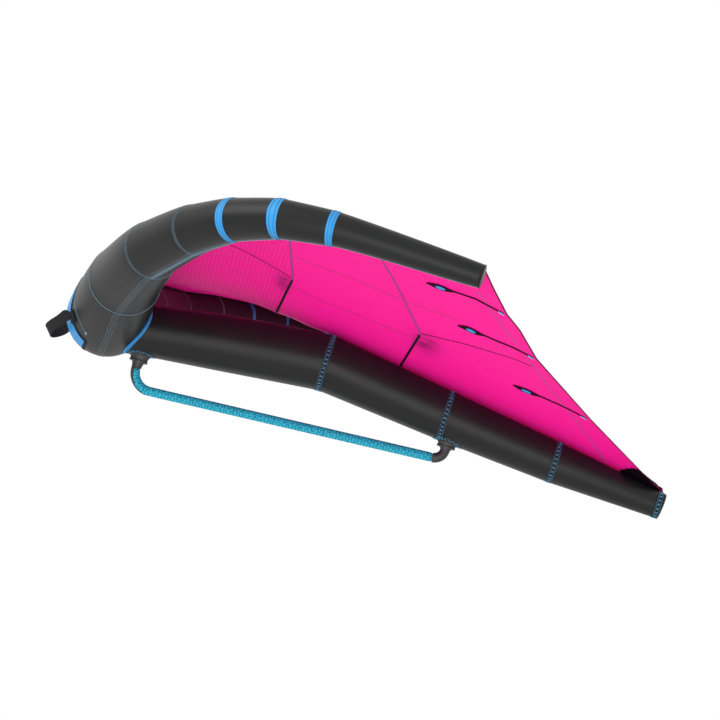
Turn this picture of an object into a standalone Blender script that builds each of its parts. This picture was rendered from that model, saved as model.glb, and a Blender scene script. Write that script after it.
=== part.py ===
"""Wingfoil wing: a hand-held inflatable wing with a tubular leading edge, a centre strut,
a sewn canopy and a rigid boom. +X runs aft along the strut, +Y across the span, +Z up.
The shapes are worked out about the middle of the nose tube and then placed so that the
origin is the middle of the boom's straight grip."""

import math

import bmesh
import bpy
import numpy as np
from mathutils import Vector

# Leading edge tube
HALF_SPAN = 1.238
EDGE_SWEEP = 1.172
TIP_RISE = 0.3035
NOSE_RADIUS = 0.141
SLEEVE_WALL = 0.0015
# The tube runs nearly straight between stations: share of a full round bend.
EDGE_BEND_SHARE = 0.45
SLEEVE_RING_STEP = 0.150
SEAM_GAP = 0.0005
TIP_CAP_DEPTH = 0.005
TIP_CAP_CROWN = 0.003
TIP_CAP_FACE_SHARE = 0.62
# Each station: aft share of the sweep, share of the half span, share of the rise,
# share of the nose radius. The first is the nose and the last the end of the tube.
EDGE_STATION_SHARES = (
    (0.0, 0.0, 0.0, 1.0),
    (0.0433, 0.262, 0.302, 0.874),
    (0.1183, 0.532, 0.547, 0.687),
    (0.2239, 0.708, 0.770, 0.579),
    (0.3271, 0.827, 0.913, 0.491),
    (0.4497, 0.914, 1.006, 0.450),
    (0.5942, 0.952, 1.047, 0.387),
    (1.0000, 1.000, 1.000, 0.262),
)
# Sleeve panels outboard of the centre one, between two stations each.
EDGE_PANELS = (("root", 1, 2), ("inner", 2, 3), ("shoulder", 3, 4), ("outer", 4, 6), ("tip", 6, 7))

# Centre strut
STRUT_REACH = 2.012
STRUT_ARCH = 0.0725
STRUT_RADIUS = 0.1005
STRUT_CAP_DEPTH = 0.006
STRUT_CAP_CROWN = 0.004
STRUT_CAP_FACE_SHARE = 0.7
# Each station: share of the reach, share of the arch, share of the radius.
STRUT_STATION_SHARES = (
    (0.030, -0.276, 0.860),
    (0.088, -0.034, 0.900),
    (0.192, 0.400, 0.983),
    (0.303, 0.779, 1.0),
    (0.381, 1.0, 0.980),
    (0.603, 0.303, 0.866),
    (0.804, -0.262, 0.716),
    (1.0, -0.731, 0.448),
)
STRUT_PANELS = (("front", 0, 4), ("middle", 4, 5), ("rear", 5, 6), ("tail", 6, 7))

# Bladders and the tube that joins them
BLADDER_WALL = 0.0008
BLADDER_CLEARANCE = 0.0009
BLADDER_TAPER = 0.030
BLADDER_END_SHARE = 0.55
STRUT_BLADDER_START = 0.162
TRANSFER_RADIUS = 0.012
TRANSFER_WALL = 0.002
TRANSFER_START = 0.112
TRANSFER_LENGTH = 0.080

# Canopy. The panels' edges are pulled apart by a share of the seam gap.
PANEL_PULL_SHARE = 0.75
CLOTH = 0.0012
CANOPY_CLEARANCE = 0.0009
CANOPY_BILLOW = 0.012
ATTACH_ANGLE_NOSE = math.radians(25)
ATTACH_ANGLE_TIP = math.radians(34)
TRAILING_REACH = 2.006
TRAILING_DROP = 0.006
TRAILING_TIP_HEIGHT = 0.343
TRAILING_STRIP = 0.085
# Each point: share of the reach of the trailing edge, share of the half span.
TRAILING_SHARES = (
    (1.0, 0.0),
    (0.9531, 0.0843),
    (0.8315, 0.3205),
    (0.7119, 0.5745),
    (0.6695, 0.7075),
    (0.6421, 0.771),
    (0.6087, 0.887),
    (0.5872, 0.968),
)
# The trailing strip: share of the half span, share of its fore-and-aft width.
STRIP_WIDTH_SHARES = ((0.0, 2.55), (0.245, 1.72), (0.489, 1.0), (0.80, 1.08), (0.968, 0.30))
# Height of the canopy's middle seam over the strut, at shares of the strut's reach.
LIFT_OVER_STRUT = 0.0915
LIFT_SHARES = (
    (0.0296, 0.69),
    (0.081, 1.0),
    (0.119, 0.918),
    (0.159, 0.80),
    (0.209, 0.69),
    (0.263, 0.454),
    (0.303, 0.295),
    (0.345, 0.08),
    (0.381, 0.0),
    (1.1, 0.0),
)
# The two spanwise seams, as shares of the strut's reach and of the half span: at the
# middle seam, at the corner, and then the station of the leading edge where they end.
FRONT_SEAM_SHARES = ((0.2737, 0.0), (0.2911, 0.311))
FRONT_SEAM_END = 5.0
REAR_SEAM_SHARES = ((0.504, 0.0), (0.520, 0.308))
REAR_SEAM_END = 6.20
# The front bay's seam from the corner ends at this station of the leading edge.
CORNER_SEAM_END = 2.2
# Rows of the middle and rear bays, each with one over a seam of the strut.
MIDDLE_ROW_SHARES = (0.0, 0.22, 0.464, 0.65, 0.82, 1.0)
REAR_ROW_SHARES = (0.0, 0.26, 0.52, 0.78, 0.89, 1.0)
# Points along the trailing edge, as shares of the half span. The rear bay's chordwise
# seam ends where the two lists meet.
INNER_SPAN_SHARES = (0.0, 0.0843, 0.200, 0.3205, 0.405, 0.489)
OUTER_SPAN_SHARES = (0.489, 0.5745, 0.7075, 0.771, 0.887, 0.968)

# Battens: start and end, each as a share of the reach and a share of the half span.
BATTEN_WIDTH = 0.008
BATTEN_THICKNESS = 0.0016
BATTEN_SEAT = 0.0005
BATTEN_SHARES = (
    ("outer", (0.505, 0.701), (0.636, 0.759)),
    ("middle", (0.574, 0.490), (0.705, 0.565)),
    ("inner", (0.693, 0.257), (0.824, 0.299)),
)

# Boom
BOOM_TUBE_RADIUS = 0.0132
BOOM_TUBE_WALL = 0.0020
GRIP_WALL = 0.0023
FIT_GAP = 0.0003
BOOM_FRONT_X = 0.149
BOOM_REAR_X = 1.247
BOOM_FRONT_CORNER_Z = -0.2114
BOOM_REAR_CORNER_Z = -0.1267
BOOM_FRONT_BEND = 0.065
BOOM_REAR_BEND = 0.036
FRONT_FOOT_DEPTH = 0.017
REAR_FOOT_DEPTH = 0.010
FOOT_HALF_LENGTH = 0.038
FOOT_HALF_WIDTH = 0.027
FLANGE_HALF_LENGTH = 0.034
FLANGE_HALF_WIDTH = 0.021
FLANGE_DEPTH = 0.006
NECK_RADIUS = 0.0172
NECK_FLARE = 0.010
SOCKET_DEPTH = 0.017
# Share of the way from the rear bend to the flange where the tube ends, and the elbow starts.
TUBE_END_SHARE = 0.3
ELBOW_START_SHARE = 0.12
# The neck under a flange: share of the flare's depth, share of the neck's radius.
NECK_TOP_SHARES = ((0.0, 1.12), (0.4, 1.03))
NECK_END_SHARE = 0.95
# A foot's middle: share of its depth, share of the flange's length. Its top reaches up the
# tube's side by a share of the strut's radius.
FOOT_MIDDLE_SHARES = (0.35, 1.02)
FOOT_REACH_SHARE = 0.3
SCREW_OFFSET = 0.0265
SCREW_RADIUS = 0.003
SCREW_HEAD_RADIUS = 0.005
SCREW_HEAD_DEPTH = 0.003
SCREW_LENGTH = 0.013
# The domed head's face: share of its radius, and share of its depth where the dome starts.
SCREW_FACE_SHARE = 0.6
SCREW_DOME_SHARE = 0.4

# Nose handle and its patch
HANDLE_SPREAD = 0.100
HANDLE_DEPTH = 0.056
HANDLE_WIDTH = 0.040
HANDLE_STRAP = 0.004
HANDLE_SEAT = 0.0026
HANDLE_CORNER = 0.022
HANDLE_ANGLE = math.radians(242)
HANDLE_DROOP = math.radians(37)
# Widths of the strap's rounded sewn ends, as shares of its half width.
HANDLE_END_SHARES = (0.97, 0.8, 0.45, 0.0)
HANDLE_CORNER_STEPS = 4
NOSE_PATCH_HALF = 0.190
NOSE_PATCH_THICKNESS = 0.0012
# Sides of the sleeve that the patch covers, counted from its top towards the tail.
NOSE_PATCH_SIDES = (11, 12, 13, 14, 15, 16)

# Inflation valve, on the far half of the centre panel and turned down and aft
VALVE_STATION = 0.262
VALVE_ANGLE = math.radians(122)
VALVE_NECK_RADIUS = 0.0245
VALVE_BORE_RADIUS = 0.0185
VALVE_FLANGE_RADIUS = 0.031
VALVE_FLANGE = 0.0018
VALVE_DEPTH = 0.0125
VALVE_HEIGHT = 0.0105
INSERT_RIM_RADIUS = 0.0235
INSERT_RIM = 0.0025
INSERT_BORE_RADIUS = 0.0125
INSERT_DEPTH = 0.014
FLAP_RADIUS = 0.0150
FLAP_THICKNESS = 0.0015
CAP_RADIUS = 0.0265
CAP_HEIGHT = 0.0042
CAP_PLUG_DEPTH = 0.003
CAP_ARM_REACH = 0.033
CAP_ARM_WIDTH = 0.010
CAP_ARM_THICKNESS = 0.0022
LUG_MARGIN = 0.003
CAP_FACE_SHARE = 0.85
CAP_ARM_ROOT_SHARE = 0.8

# Zip of the strut, on its far side
ZIP_START_SHARE = 0.06
ZIP_LENGTH = 0.390
ZIP_WIDTH = 0.024
ZIP_THICKNESS = 0.0014
SLIDER_LENGTH = 0.014
SLIDER_WIDTH = 0.010
SLIDER_HEIGHT = 0.006
PULL_LENGTH = 0.024
PULL_WIDTH = 0.007
PULL_THICKNESS = 0.0016

# Numbers of sides and steps
TUBE_SIDES = 20
BOOM_SIDES = 12
SCREW_SIDES = 10
BEND_STEPS = 7
FRONT_COLUMNS = 6
FRONT_ROWS = 5
TRIANGLE_COLUMNS = 6
BAY_COLUMNS = 4
BATTEN_STEPS = 14
VALVE_SIDES = 20
OUTLINE_STEPS = 60
CUT_OVERRUN = 0.004

UP = Vector((0, 0, 1))
ACROSS = Vector((0, 1, 0))
ALONG = Vector((1, 0, 0))
NOSE = Vector((0, 0, 0))


def boom_corners():
    """The two corners of the boom's line, before they are rounded."""
    front = Vector((BOOM_FRONT_X, 0, BOOM_FRONT_CORNER_Z))
    rear = Vector((BOOM_REAR_X, 0, BOOM_REAR_CORNER_Z))
    return front, rear


GRIP_CENTRE = (boom_corners()[0] + boom_corners()[1]) / 2


def clear_scene():
    for obj in list(bpy.data.objects):
        bpy.data.objects.remove(obj)


def make_material(name, colour, roughness, metallic=0.0):
    material = bpy.data.materials.get(name)
    if material:
        return material
    material = bpy.data.materials.new(name)
    material.use_nodes = True
    shader = material.node_tree.nodes["Principled BSDF"]
    shader.inputs["Base Color"].default_value = (*colour, 1.0)
    shader.inputs["Roughness"].default_value = roughness
    shader.inputs["Metallic"].default_value = metallic
    material.diffuse_color = (*colour, 1.0)
    return material


def sleeve_cloth():
    return make_material("sleeve_cloth", (0.045, 0.048, 0.047), 0.55)


def canopy_cloth():
    return make_material("canopy_cloth", (0.93, 0.02, 0.28), 0.5)


def blue_cloth():
    return make_material("blue_cloth", (0.07, 0.36, 0.82), 0.5)


def bladder_film():
    return make_material("bladder_film", (0.82, 0.84, 0.80), 0.35)


def black_plastic():
    return make_material("black_plastic", (0.025, 0.025, 0.027), 0.45)


def black_webbing():
    return make_material("black_webbing", (0.02, 0.02, 0.021), 0.8)


def grip_foam():
    return make_material("grip_foam", (0.02, 0.36, 0.55), 0.75)


def carbon():
    return make_material("carbon", (0.02, 0.02, 0.022), 0.35)


def screw_steel():
    return make_material("screw_steel", (0.6, 0.6, 0.62), 0.3, 1.0)


def batten_rod():
    return make_material("batten_rod", (0.03, 0.03, 0.03), 0.5)


def ring(centre, first, second, radius, sides, squash=1.0):
    """A closed ring of points that turns from first towards second."""
    turns = [2 * math.pi * k / sides for k in range(sides)]
    return [centre + first * (radius * math.cos(a)) + second * (radius * squash * math.sin(a)) for a in turns]


def loft(rings, caps=True, loop=False, closed=True):
    """Faces between neighbouring rings. A loop joins the last ring to the first."""
    bm = bmesh.new()
    rows = [[bm.verts.new(p) for p in points] for points in rings]
    if loop:
        rows.append(rows[0])
    sides = len(rings[0])
    last = sides if closed else sides - 1
    for low, high in zip(rows, rows[1:]):
        for k in range(last):
            n = (k + 1) % sides
            bm.faces.new((low[k], low[n], high[n], high[k]))
    if caps and not loop:
        bm.faces.new(list(reversed(rows[0])))
        bm.faces.new(rows[-1])
    return bm


def add_piece(name, bm, material, pivot=NOSE, smooth=True):
    """Makes the mesh an object whose origin is the pivot."""
    for vert in bm.verts:
        vert.co -= pivot
    mesh = bpy.data.meshes.new(name)
    bm.to_mesh(mesh)
    bm.free()
    obj = bpy.data.objects.new(name, mesh)
    obj.location = pivot - GRIP_CENTRE
    bpy.context.scene.collection.objects.link(obj)
    mesh.materials.append(material)
    if smooth:
        mesh.shade_smooth()
        mesh.set_sharp_from_angle(angle=math.radians(35))
    return obj


def thicken(obj, wall, offset=-1.0):
    solidify = obj.modifiers.new("wall", "SOLIDIFY")
    solidify.thickness = wall
    solidify.offset = offset
    solidify.use_even_offset = True
    return obj


def cutter(name, bm):
    obj = add_piece(name, bm, black_plastic(), smooth=False)
    obj.hide_render = True
    obj.hide_viewport = False
    obj.display_type = "WIRE"
    return obj


def cut(obj, tool):
    boolean = obj.modifiers.new("cut_" + tool.name, "BOOLEAN")
    boolean.operation = "DIFFERENCE"
    boolean.solver = "EXACT"
    boolean.object = tool
    return obj


def join_with(obj, tool):
    boolean = obj.modifiers.new("join_" + tool.name, "BOOLEAN")
    boolean.operation = "UNION"
    boolean.solver = "EXACT"
    boolean.object = tool
    return obj


# The leading edge's centre line


def edge_points():
    shares = np.array(EDGE_STATION_SHARES)
    return shares[:, :3] * np.array((EDGE_SWEEP, HALF_SPAN, TIP_RISE))


def edge_lengths():
    """Distance of each station from the nose, along straight lines between stations."""
    steps = np.linalg.norm(np.diff(edge_points(), axis=0), axis=1)
    return np.concatenate(([0.0], np.cumsum(steps)))


def edge_slopes():
    """Direction of the line at each station, from the parabola through its neighbours."""
    points = edge_points()
    points = np.vstack((points[1] * np.array((1, -1, 1)), points))
    reach = edge_lengths()
    reach = np.concatenate(([-reach[1]], reach))
    slopes = []
    for i in range(1, len(points) - 1):
        before = (points[i] - points[i - 1]) / (reach[i] - reach[i - 1])
        after = (points[i + 1] - points[i]) / (reach[i + 1] - reach[i])
        near = (reach[i + 1] - reach[i]) / (reach[i + 1] - reach[i - 1])
        slopes.append(before * near + after * (1 - near))
    slopes.append((points[-1] - points[-2]) / (reach[-1] - reach[-2]))
    return np.array(slopes)


EDGE_POINTS = edge_points()
EDGE_LENGTHS = edge_lengths()
EDGE_SLOPES = edge_slopes()
EDGE_END = float(EDGE_LENGTHS[-1])


def edge_frame(reach):
    """Centre, direction, up and aft at a distance from the nose, negative on the left."""
    side = -1 if reach < 0 else 1
    along = min(abs(reach), EDGE_END)
    i = min(int(np.searchsorted(EDGE_LENGTHS, along, side="right")) - 1, len(EDGE_LENGTHS) - 2)
    step = EDGE_LENGTHS[i + 1] - EDGE_LENGTHS[i]
    t = (along - EDGE_LENGTHS[i]) / step
    p0, p1 = EDGE_POINTS[i], EDGE_POINTS[i + 1]
    m0, m1 = EDGE_SLOPES[i] * step * EDGE_BEND_SHARE, EDGE_SLOPES[i + 1] * step * EDGE_BEND_SHARE
    centre = p0 * (2 * t**3 - 3 * t**2 + 1) + m0 * (t**3 - 2 * t**2 + t)
    centre = centre + p1 * (3 * t**2 - 2 * t**3) + m1 * (t**3 - t**2)
    slope = p0 * (6 * t**2 - 6 * t) + m0 * (3 * t**2 - 4 * t + 1)
    slope = slope + p1 * (6 * t - 6 * t**2) + m1 * (3 * t**2 - 2 * t)
    beyond = abs(reach) - along
    centre = Vector(centre) + Vector(slope).normalized() * beyond
    direction = Vector(slope).normalized()
    if side < 0:
        centre.y = -centre.y
        direction = Vector((-direction.x, direction.y, -direction.z))
    up = (UP - direction * UP.dot(direction)).normalized()
    aft = direction.cross(up)
    return centre, direction, up, aft


def edge_radius(reach):
    shares = [row[3] for row in EDGE_STATION_SHARES]
    return NOSE_RADIUS * float(np.interp(abs(reach), EDGE_LENGTHS, shares))


def edge_ring(reach, growth=0.0, sides=TUBE_SIDES):
    centre, _, up, aft = edge_frame(reach)
    return ring(centre, up, aft, edge_radius(reach) + growth, sides)


def edge_surface(reach, angle, growth=0.0):
    """A point on the tube, its angle measured from the top towards the canopy."""
    centre, _, up, aft = edge_frame(reach)
    outward = up * math.cos(angle) + aft * math.sin(angle)
    return centre + outward * (edge_radius(reach) + growth), outward


def station_reach(station):
    whole = min(int(station), len(EDGE_LENGTHS) - 2)
    part = station - whole
    return float(EDGE_LENGTHS[whole] * (1 - part) + EDGE_LENGTHS[whole + 1] * part)


def ring_reaches(start, end):
    """Distances of the rings of one sleeve panel. One that spans the nose has a ring there."""
    if start < 0 < end:
        half = ring_reaches(0.0, end)
        return [-reach for reach in reversed(half[1:])] + half
    steps = math.ceil((end - start) / SLEEVE_RING_STEP)
    return [start + (end - start) * k / steps for k in range(steps + 1)]


def sleeve_panel(name, start, end, tools=()):
    half_gap = SEAM_GAP / 2
    reaches = ring_reaches(start, end)
    reaches[0] += half_gap
    reaches[-1] -= half_gap
    obj = add_piece(name, loft([edge_ring(r) for r in reaches], caps=False), sleeve_cloth())
    thicken(obj, SLEEVE_WALL)
    for tool in tools:
        cut(obj, tool)
    return obj


def tip_cap(name, side):
    rings = []
    profile = (
        (SEAM_GAP, 1.0),
        (TIP_CAP_DEPTH - TIP_CAP_CROWN, 1.0),
        (TIP_CAP_DEPTH, TIP_CAP_FACE_SHARE),
    )
    for depth, share in profile:
        reach = EDGE_END + depth
        centre, direction, up, aft = edge_frame(reach * side)
        rings.append(ring(centre, up, aft, edge_radius(EDGE_END) * share, TUBE_SIDES))
    if side < 0:
        rings.reverse()
    return add_piece(name, loft(rings), sleeve_cloth())


def edge_solid(growth, start, end):
    """The tube's outside as one solid, to cut what butts against it."""
    return loft([edge_ring(r, growth) for r in ring_reaches(start, end)])


# The strut's centre line


def strut_station(index):
    share_x, share_z, share_r = STRUT_STATION_SHARES[index]
    return Vector((share_x * STRUT_REACH, 0, share_z * STRUT_ARCH)), share_r * STRUT_RADIUS


def strut_centre(x):
    xs = [row[0] * STRUT_REACH for row in STRUT_STATION_SHARES]
    zs = [row[1] * STRUT_ARCH for row in STRUT_STATION_SHARES]
    return float(np.interp(x, xs, zs))


def strut_radius(x):
    xs = [row[0] * STRUT_REACH for row in STRUT_STATION_SHARES]
    rs = [row[2] * STRUT_RADIUS for row in STRUT_STATION_SHARES]
    return float(np.interp(x, xs, rs))


def strut_direction(x):
    """Along a straight run it is the run's own direction, and at a station the mean of two."""
    xs = [row[0] * STRUT_REACH for row in STRUT_STATION_SHARES]
    zs = [row[1] * STRUT_ARCH for row in STRUT_STATION_SHARES]
    runs = [Vector((b - a, 0, d - c)).normalized() for a, b, c, d in zip(xs, xs[1:], zs, zs[1:])]
    near = min(range(len(xs)), key=lambda k: abs(xs[k] - x))
    if abs(xs[near] - x) <= SEAM_GAP and 0 < near < len(xs) - 1:
        return (runs[near - 1] + runs[near]).normalized()
    run = min(max(int(np.searchsorted(xs, x, side="right")) - 1, 0), len(runs) - 1)
    return runs[run]


def strut_frame(x):
    direction = strut_direction(x)
    up = (UP - direction * UP.dot(direction)).normalized()
    return Vector((x, 0, strut_centre(x))), direction, up, direction.cross(up)


def strut_ring(x, growth=0.0, sides=TUBE_SIDES):
    centre, _, up, side = strut_frame(x)
    return ring(centre, up, side, strut_radius(x) + growth, sides)


def strut_top(x):
    return strut_centre(x) + strut_radius(x)


def strut_stations_between(start, end):
    xs = [row[0] * STRUT_REACH for row in STRUT_STATION_SHARES]
    return [start] + [x for x in xs if start + SEAM_GAP < x < end - SEAM_GAP] + [end]


def strut_panel(name, first, last, tools=()):
    start = strut_station(first)[0].x + (SEAM_GAP / 2 if first else 0)
    end = strut_station(last)[0].x - SEAM_GAP / 2
    rings = [strut_ring(x) for x in strut_stations_between(start, end)]
    obj = add_piece(name, loft(rings, caps=False), sleeve_cloth())
    thicken(obj, SLEEVE_WALL)
    for tool in tools:
        cut(obj, tool)
    return obj


def strut_solid(growth):
    start = strut_station(0)[0].x
    return loft([strut_ring(x, growth) for x in strut_stations_between(start, STRUT_REACH)])


def strut_end_cap():
    rings = []
    centre, direction, up, side = strut_frame(STRUT_REACH)
    radius = strut_radius(STRUT_REACH)
    profile = (
        (SEAM_GAP, 1.0),
        (STRUT_CAP_DEPTH - STRUT_CAP_CROWN, 1.0),
        (STRUT_CAP_DEPTH, STRUT_CAP_FACE_SHARE),
    )
    for depth, share in profile:
        rings.append(ring(centre + direction * depth, up, side, radius * share, TUBE_SIDES))
    return add_piece("strut_end_cap", loft(rings), sleeve_cloth())


# Bladders


def edge_bladder(tools):
    """The air tube inside the sleeve. It has the sleeve's own rings, so it lies just inside."""
    growth = -(SLEEVE_WALL + BLADDER_CLEARANCE)
    end = EDGE_END - BLADDER_TAPER
    half = []
    for _, first, last in (("centre", 0, 1), *EDGE_PANELS):
        half += ring_reaches(station_reach(first), station_reach(last))[:-1]
    half = [reach for reach in half if reach < end - SEAM_GAP] + [end]
    reaches = [-reach for reach in reversed(half[1:])] + half
    rings = [edge_ring(reach, growth) for reach in reaches]
    for side in (-1, 1):
        reach = side * (EDGE_END - BLADDER_CLEARANCE)
        centre, _, up, aft = edge_frame(reach)
        small = ring(centre, up, aft, (edge_radius(reach) + growth) * BLADDER_END_SHARE, TUBE_SIDES)
        rings.insert(0 if side < 0 else len(rings), small)
    obj = add_piece("leading_edge_bladder", loft(rings), bladder_film())
    thicken(obj, BLADDER_WALL)
    for tool in tools:
        cut(obj, tool)
    return obj


def strut_bladder(tools):
    growth = -(SLEEVE_WALL + BLADDER_CLEARANCE)
    start = STRUT_BLADDER_START
    end = STRUT_REACH - SEAM_GAP
    rings = []
    for x in strut_stations_between(start + BLADDER_TAPER, end - BLADDER_TAPER):
        rings.append(strut_ring(x, growth))
    for x in (start, end):
        centre, _, up, side = strut_frame(x)
        small = ring(centre, up, side, (strut_radius(x) + growth) * BLADDER_END_SHARE, TUBE_SIDES)
        rings.insert(0 if x == start else len(rings), small)
    obj = add_piece("strut_bladder", loft(rings), bladder_film())
    thicken(obj, BLADDER_WALL)
    for tool in tools:
        cut(obj, tool)
    return obj


def transfer_height():
    return strut_centre(STRUT_BLADDER_START)


def transfer_profile(radius, start, end):
    centre = Vector((0, 0, transfer_height()))
    return [ring(centre + ALONG * x, UP, ALONG.cross(UP), radius, BOOM_SIDES) for x in (start, end)]


def transfer_tube():
    start, end = TRANSFER_START, TRANSFER_START + TRANSFER_LENGTH
    outer = transfer_profile(TRANSFER_RADIUS, start, end)
    inner = transfer_profile(TRANSFER_RADIUS - TRANSFER_WALL, start, end)
    return add_piece("transfer_tube", loft(outer + inner[::-1], loop=True), black_plastic())


# Canopy


def edge_attach(reach):
    share = abs(reach) / EDGE_END
    angle = ATTACH_ANGLE_NOSE + (ATTACH_ANGLE_TIP - ATTACH_ANGLE_NOSE) * share
    return edge_surface(reach, angle, CANOPY_CLEARANCE)[0]


def trailing_point(share):
    """A point of the trailing edge at a share of the half span."""
    spans = [row[1] for row in TRAILING_SHARES]
    reaches = [row[0] for row in TRAILING_SHARES]
    x = TRAILING_REACH * float(np.interp(share, spans, reaches))
    z = -TRAILING_DROP + (TRAILING_TIP_HEIGHT + TRAILING_DROP) * share
    return Vector((x, HALF_SPAN * share, z))


def even_shares(count):
    return [k / count for k in range(count + 1)]


def outline_samples():
    """The canopy's outline from the nose round the tip to the tail, as x, y and height."""
    shares = even_shares(OUTLINE_STEPS)
    edge = [edge_attach(EDGE_END * share) for share in shares]
    return edge + [trailing_point(1 - share) for share in shares]


OUTLINE = outline_samples()
OUTLINE_X = np.maximum.accumulate(np.array([p.x for p in OUTLINE]))
OUTLINE_Y = np.array([p.y for p in OUTLINE])
OUTLINE_Z = np.array([p.z for p in OUTLINE])


def middle_height(x):
    """Height of the canopy's middle seam."""
    shares = [row[0] for row in LIFT_SHARES]
    lifts = [row[1] for row in LIFT_SHARES]
    lift = LIFT_OVER_STRUT * float(np.interp(x / STRUT_REACH, shares, lifts))
    return strut_top(x) + CANOPY_CLEARANCE + lift


def canopy_height(x, y):
    """Height of the canopy's underside over a point of its plan, for y of zero or more."""
    edge_y = float(np.interp(x, OUTLINE_X, OUTLINE_Y))
    edge_z = float(np.interp(x, OUTLINE_X, OUTLINE_Z))
    share = min(y / edge_y, 1.0) if edge_y > SEAM_GAP else 1.0
    middle = middle_height(x)
    swell = CANOPY_BILLOW * math.sin(math.pi * share)
    return middle + (max(edge_z, middle) - middle) * share + swell


def plan_line(points, count):
    """Evenly spaced points along a line of plan points, the corners kept."""
    runs = len(points) - 1
    each = count // runs
    out = [points[0]]
    for a, b in zip(points, points[1:]):
        out += [a.lerp(b, k / each) for k in range(1, each + 1)]
    return out


def plan_of(share_pair):
    return Vector((share_pair[0] * STRUT_REACH, share_pair[1] * HALF_SPAN))


def edge_plan(reach):
    return edge_attach(reach).to_2d()


def trailing_plan(share):
    return trailing_point(share).to_2d()


def strip_width(share):
    """The strip is widest at the root and narrows to a point at the tip."""
    spans, widths = zip(*STRIP_WIDTH_SHARES)
    return TRAILING_STRIP * float(np.interp(share, spans, widths))


def strip_plan(share):
    """A point of the seam inside the trailing edge, at a share of the half span."""
    return trailing_plan(share) - Vector((strip_width(share), 0))


def patch_rows(lines):
    """Points on the canopy for rows of plan points, each pulled a little to the middle."""
    grid = np.array([[(p.x, p.y) for p in row] for row in lines])
    centre = grid.reshape(-1, 2).mean(axis=0)
    away = grid - centre
    pulled = grid - SEAM_GAP * PANEL_PULL_SHARE * away / np.maximum(np.abs(away), SEAM_GAP)
    rows = []
    for row in pulled:
        spots = [(x, max(y, SEAM_GAP / 2)) for x, y in row]
        rows.append([Vector((x, y, canopy_height(x, y))) for x, y in spots])
    return rows


def face_up(bm):
    """Turns a sheet's faces upwards."""
    bm.normal_update()
    if sum(face.normal.z * face.calc_area() for face in bm.faces) < 0:
        bmesh.ops.reverse_faces(bm, faces=bm.faces)
    return bm


def canopy_panel(name, lines, side):
    """One panel of the canopy: a sheet between rows of plan points, given its thickness."""
    rows = patch_rows(lines)
    if side < 0:
        rows = [[Vector((p.x, -p.y, p.z)) for p in row] for row in rows]
    bm = loft(rows, caps=False, closed=False)
    bmesh.ops.remove_doubles(bm, verts=bm.verts, dist=SEAM_GAP / 3)
    return thicken(add_piece(name, face_up(bm), canopy_cloth()), CLOTH, offset=1.0)


def between(first, last, shares):
    return [[a.lerp(b, share) for a, b in zip(first, last)] for share in shares]


def follow_edge(lines, shares, start, end):
    """Bends the outboard end of each row so that the last column lies on the leading edge."""
    for share, row in zip(shares, lines):
        pull = edge_plan(start + (end - start) * share) - row[-1]
        last = len(row) - 1
        for j in range(len(row)):
            row[j] = row[j] + pull * (j / last) ** 2
    return lines


def front_panels(side_name, side):
    """The nose bay, and the triangle outboard of its corner."""
    root, corner = (plan_of(pair) for pair in FRONT_SEAM_SHARES)
    columns = FRONT_COLUMNS
    nose_end = station_reach(CORNER_SEAM_END)
    seam_end = station_reach(FRONT_SEAM_END)
    edge = [edge_plan(nose_end * share) for share in even_shares(columns)]
    rows = between(edge, plan_line([root, corner], columns), even_shares(FRONT_ROWS))
    front = canopy_panel("canopy_front_" + side_name, rows, side)
    edge = [edge_plan(nose_end + (seam_end - nose_end) * share) for share in even_shares(TRIANGLE_COLUMNS)]
    rows = between(edge, [corner] * len(edge), even_shares(FRONT_ROWS))
    return [front, canopy_panel("canopy_front_outer_" + side_name, rows, side)]


def middle_panels(side_name, side):
    front_root, front_corner = (plan_of(pair) for pair in FRONT_SEAM_SHARES)
    rear_root, rear_corner = (plan_of(pair) for pair in REAR_SEAM_SHARES)
    front_end, rear_end = station_reach(FRONT_SEAM_END), station_reach(REAR_SEAM_END)
    columns = BAY_COLUMNS
    first = plan_line([front_root, front_corner], columns)
    last = plan_line([rear_root, rear_corner], columns)
    rows = between(first, last, MIDDLE_ROW_SHARES)
    inner = canopy_panel("canopy_middle_" + side_name, rows, side)
    first = plan_line([front_corner, edge_plan(front_end)], columns)
    last = plan_line([rear_corner, edge_plan(rear_end)], columns)
    rows = follow_edge(between(first, last, MIDDLE_ROW_SHARES), MIDDLE_ROW_SHARES, front_end, rear_end)
    return [inner, canopy_panel("canopy_middle_outer_" + side_name, rows, side)]


def rear_panels(side_name, side):
    root, corner = (plan_of(pair) for pair in REAR_SEAM_SHARES)
    rear_end = station_reach(REAR_SEAM_END)
    columns = len(INNER_SPAN_SHARES) - 1
    shares = REAR_ROW_SHARES
    seam = [strip_plan(share) for share in INNER_SPAN_SHARES]
    rows = between(plan_line([root, corner], columns), seam, shares)
    inner = canopy_panel("canopy_rear_" + side_name, rows, side)
    outer_seam = [strip_plan(share) for share in OUTER_SPAN_SHARES]
    outer_seam[-1] = edge_plan(EDGE_END)
    rows = between(plan_line([corner, edge_plan(rear_end)], columns), outer_seam, shares)
    rows = follow_edge(rows, shares, rear_end, EDGE_END)
    outer = canopy_panel("canopy_rear_outer_" + side_name, rows, side)
    hem = [trailing_plan(share) for share in INNER_SPAN_SHARES + OUTER_SPAN_SHARES[1:]]
    strip = canopy_panel("trailing_strip_" + side_name, between(seam + outer_seam[1:], hem, (0.0, 1.0)), side)
    return [inner, outer, strip]


def canopy_underside(panels, graph, x, y):
    """Height of the canopy's lower face about a point of its plan, seams stepped over."""
    heights = []
    for aside in (-SEAM_GAP * 2, 0.0, SEAM_GAP * 2):
        below = Vector((x + aside, y + aside, -NOSE_RADIUS * 4))
        for panel in panels:
            hit, spot, _, _ = panel.ray_cast(below, UP, depsgraph=graph)
            if hit:
                heights.append(spot.z)
    return min(heights, default=canopy_height(x, abs(y)))


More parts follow.
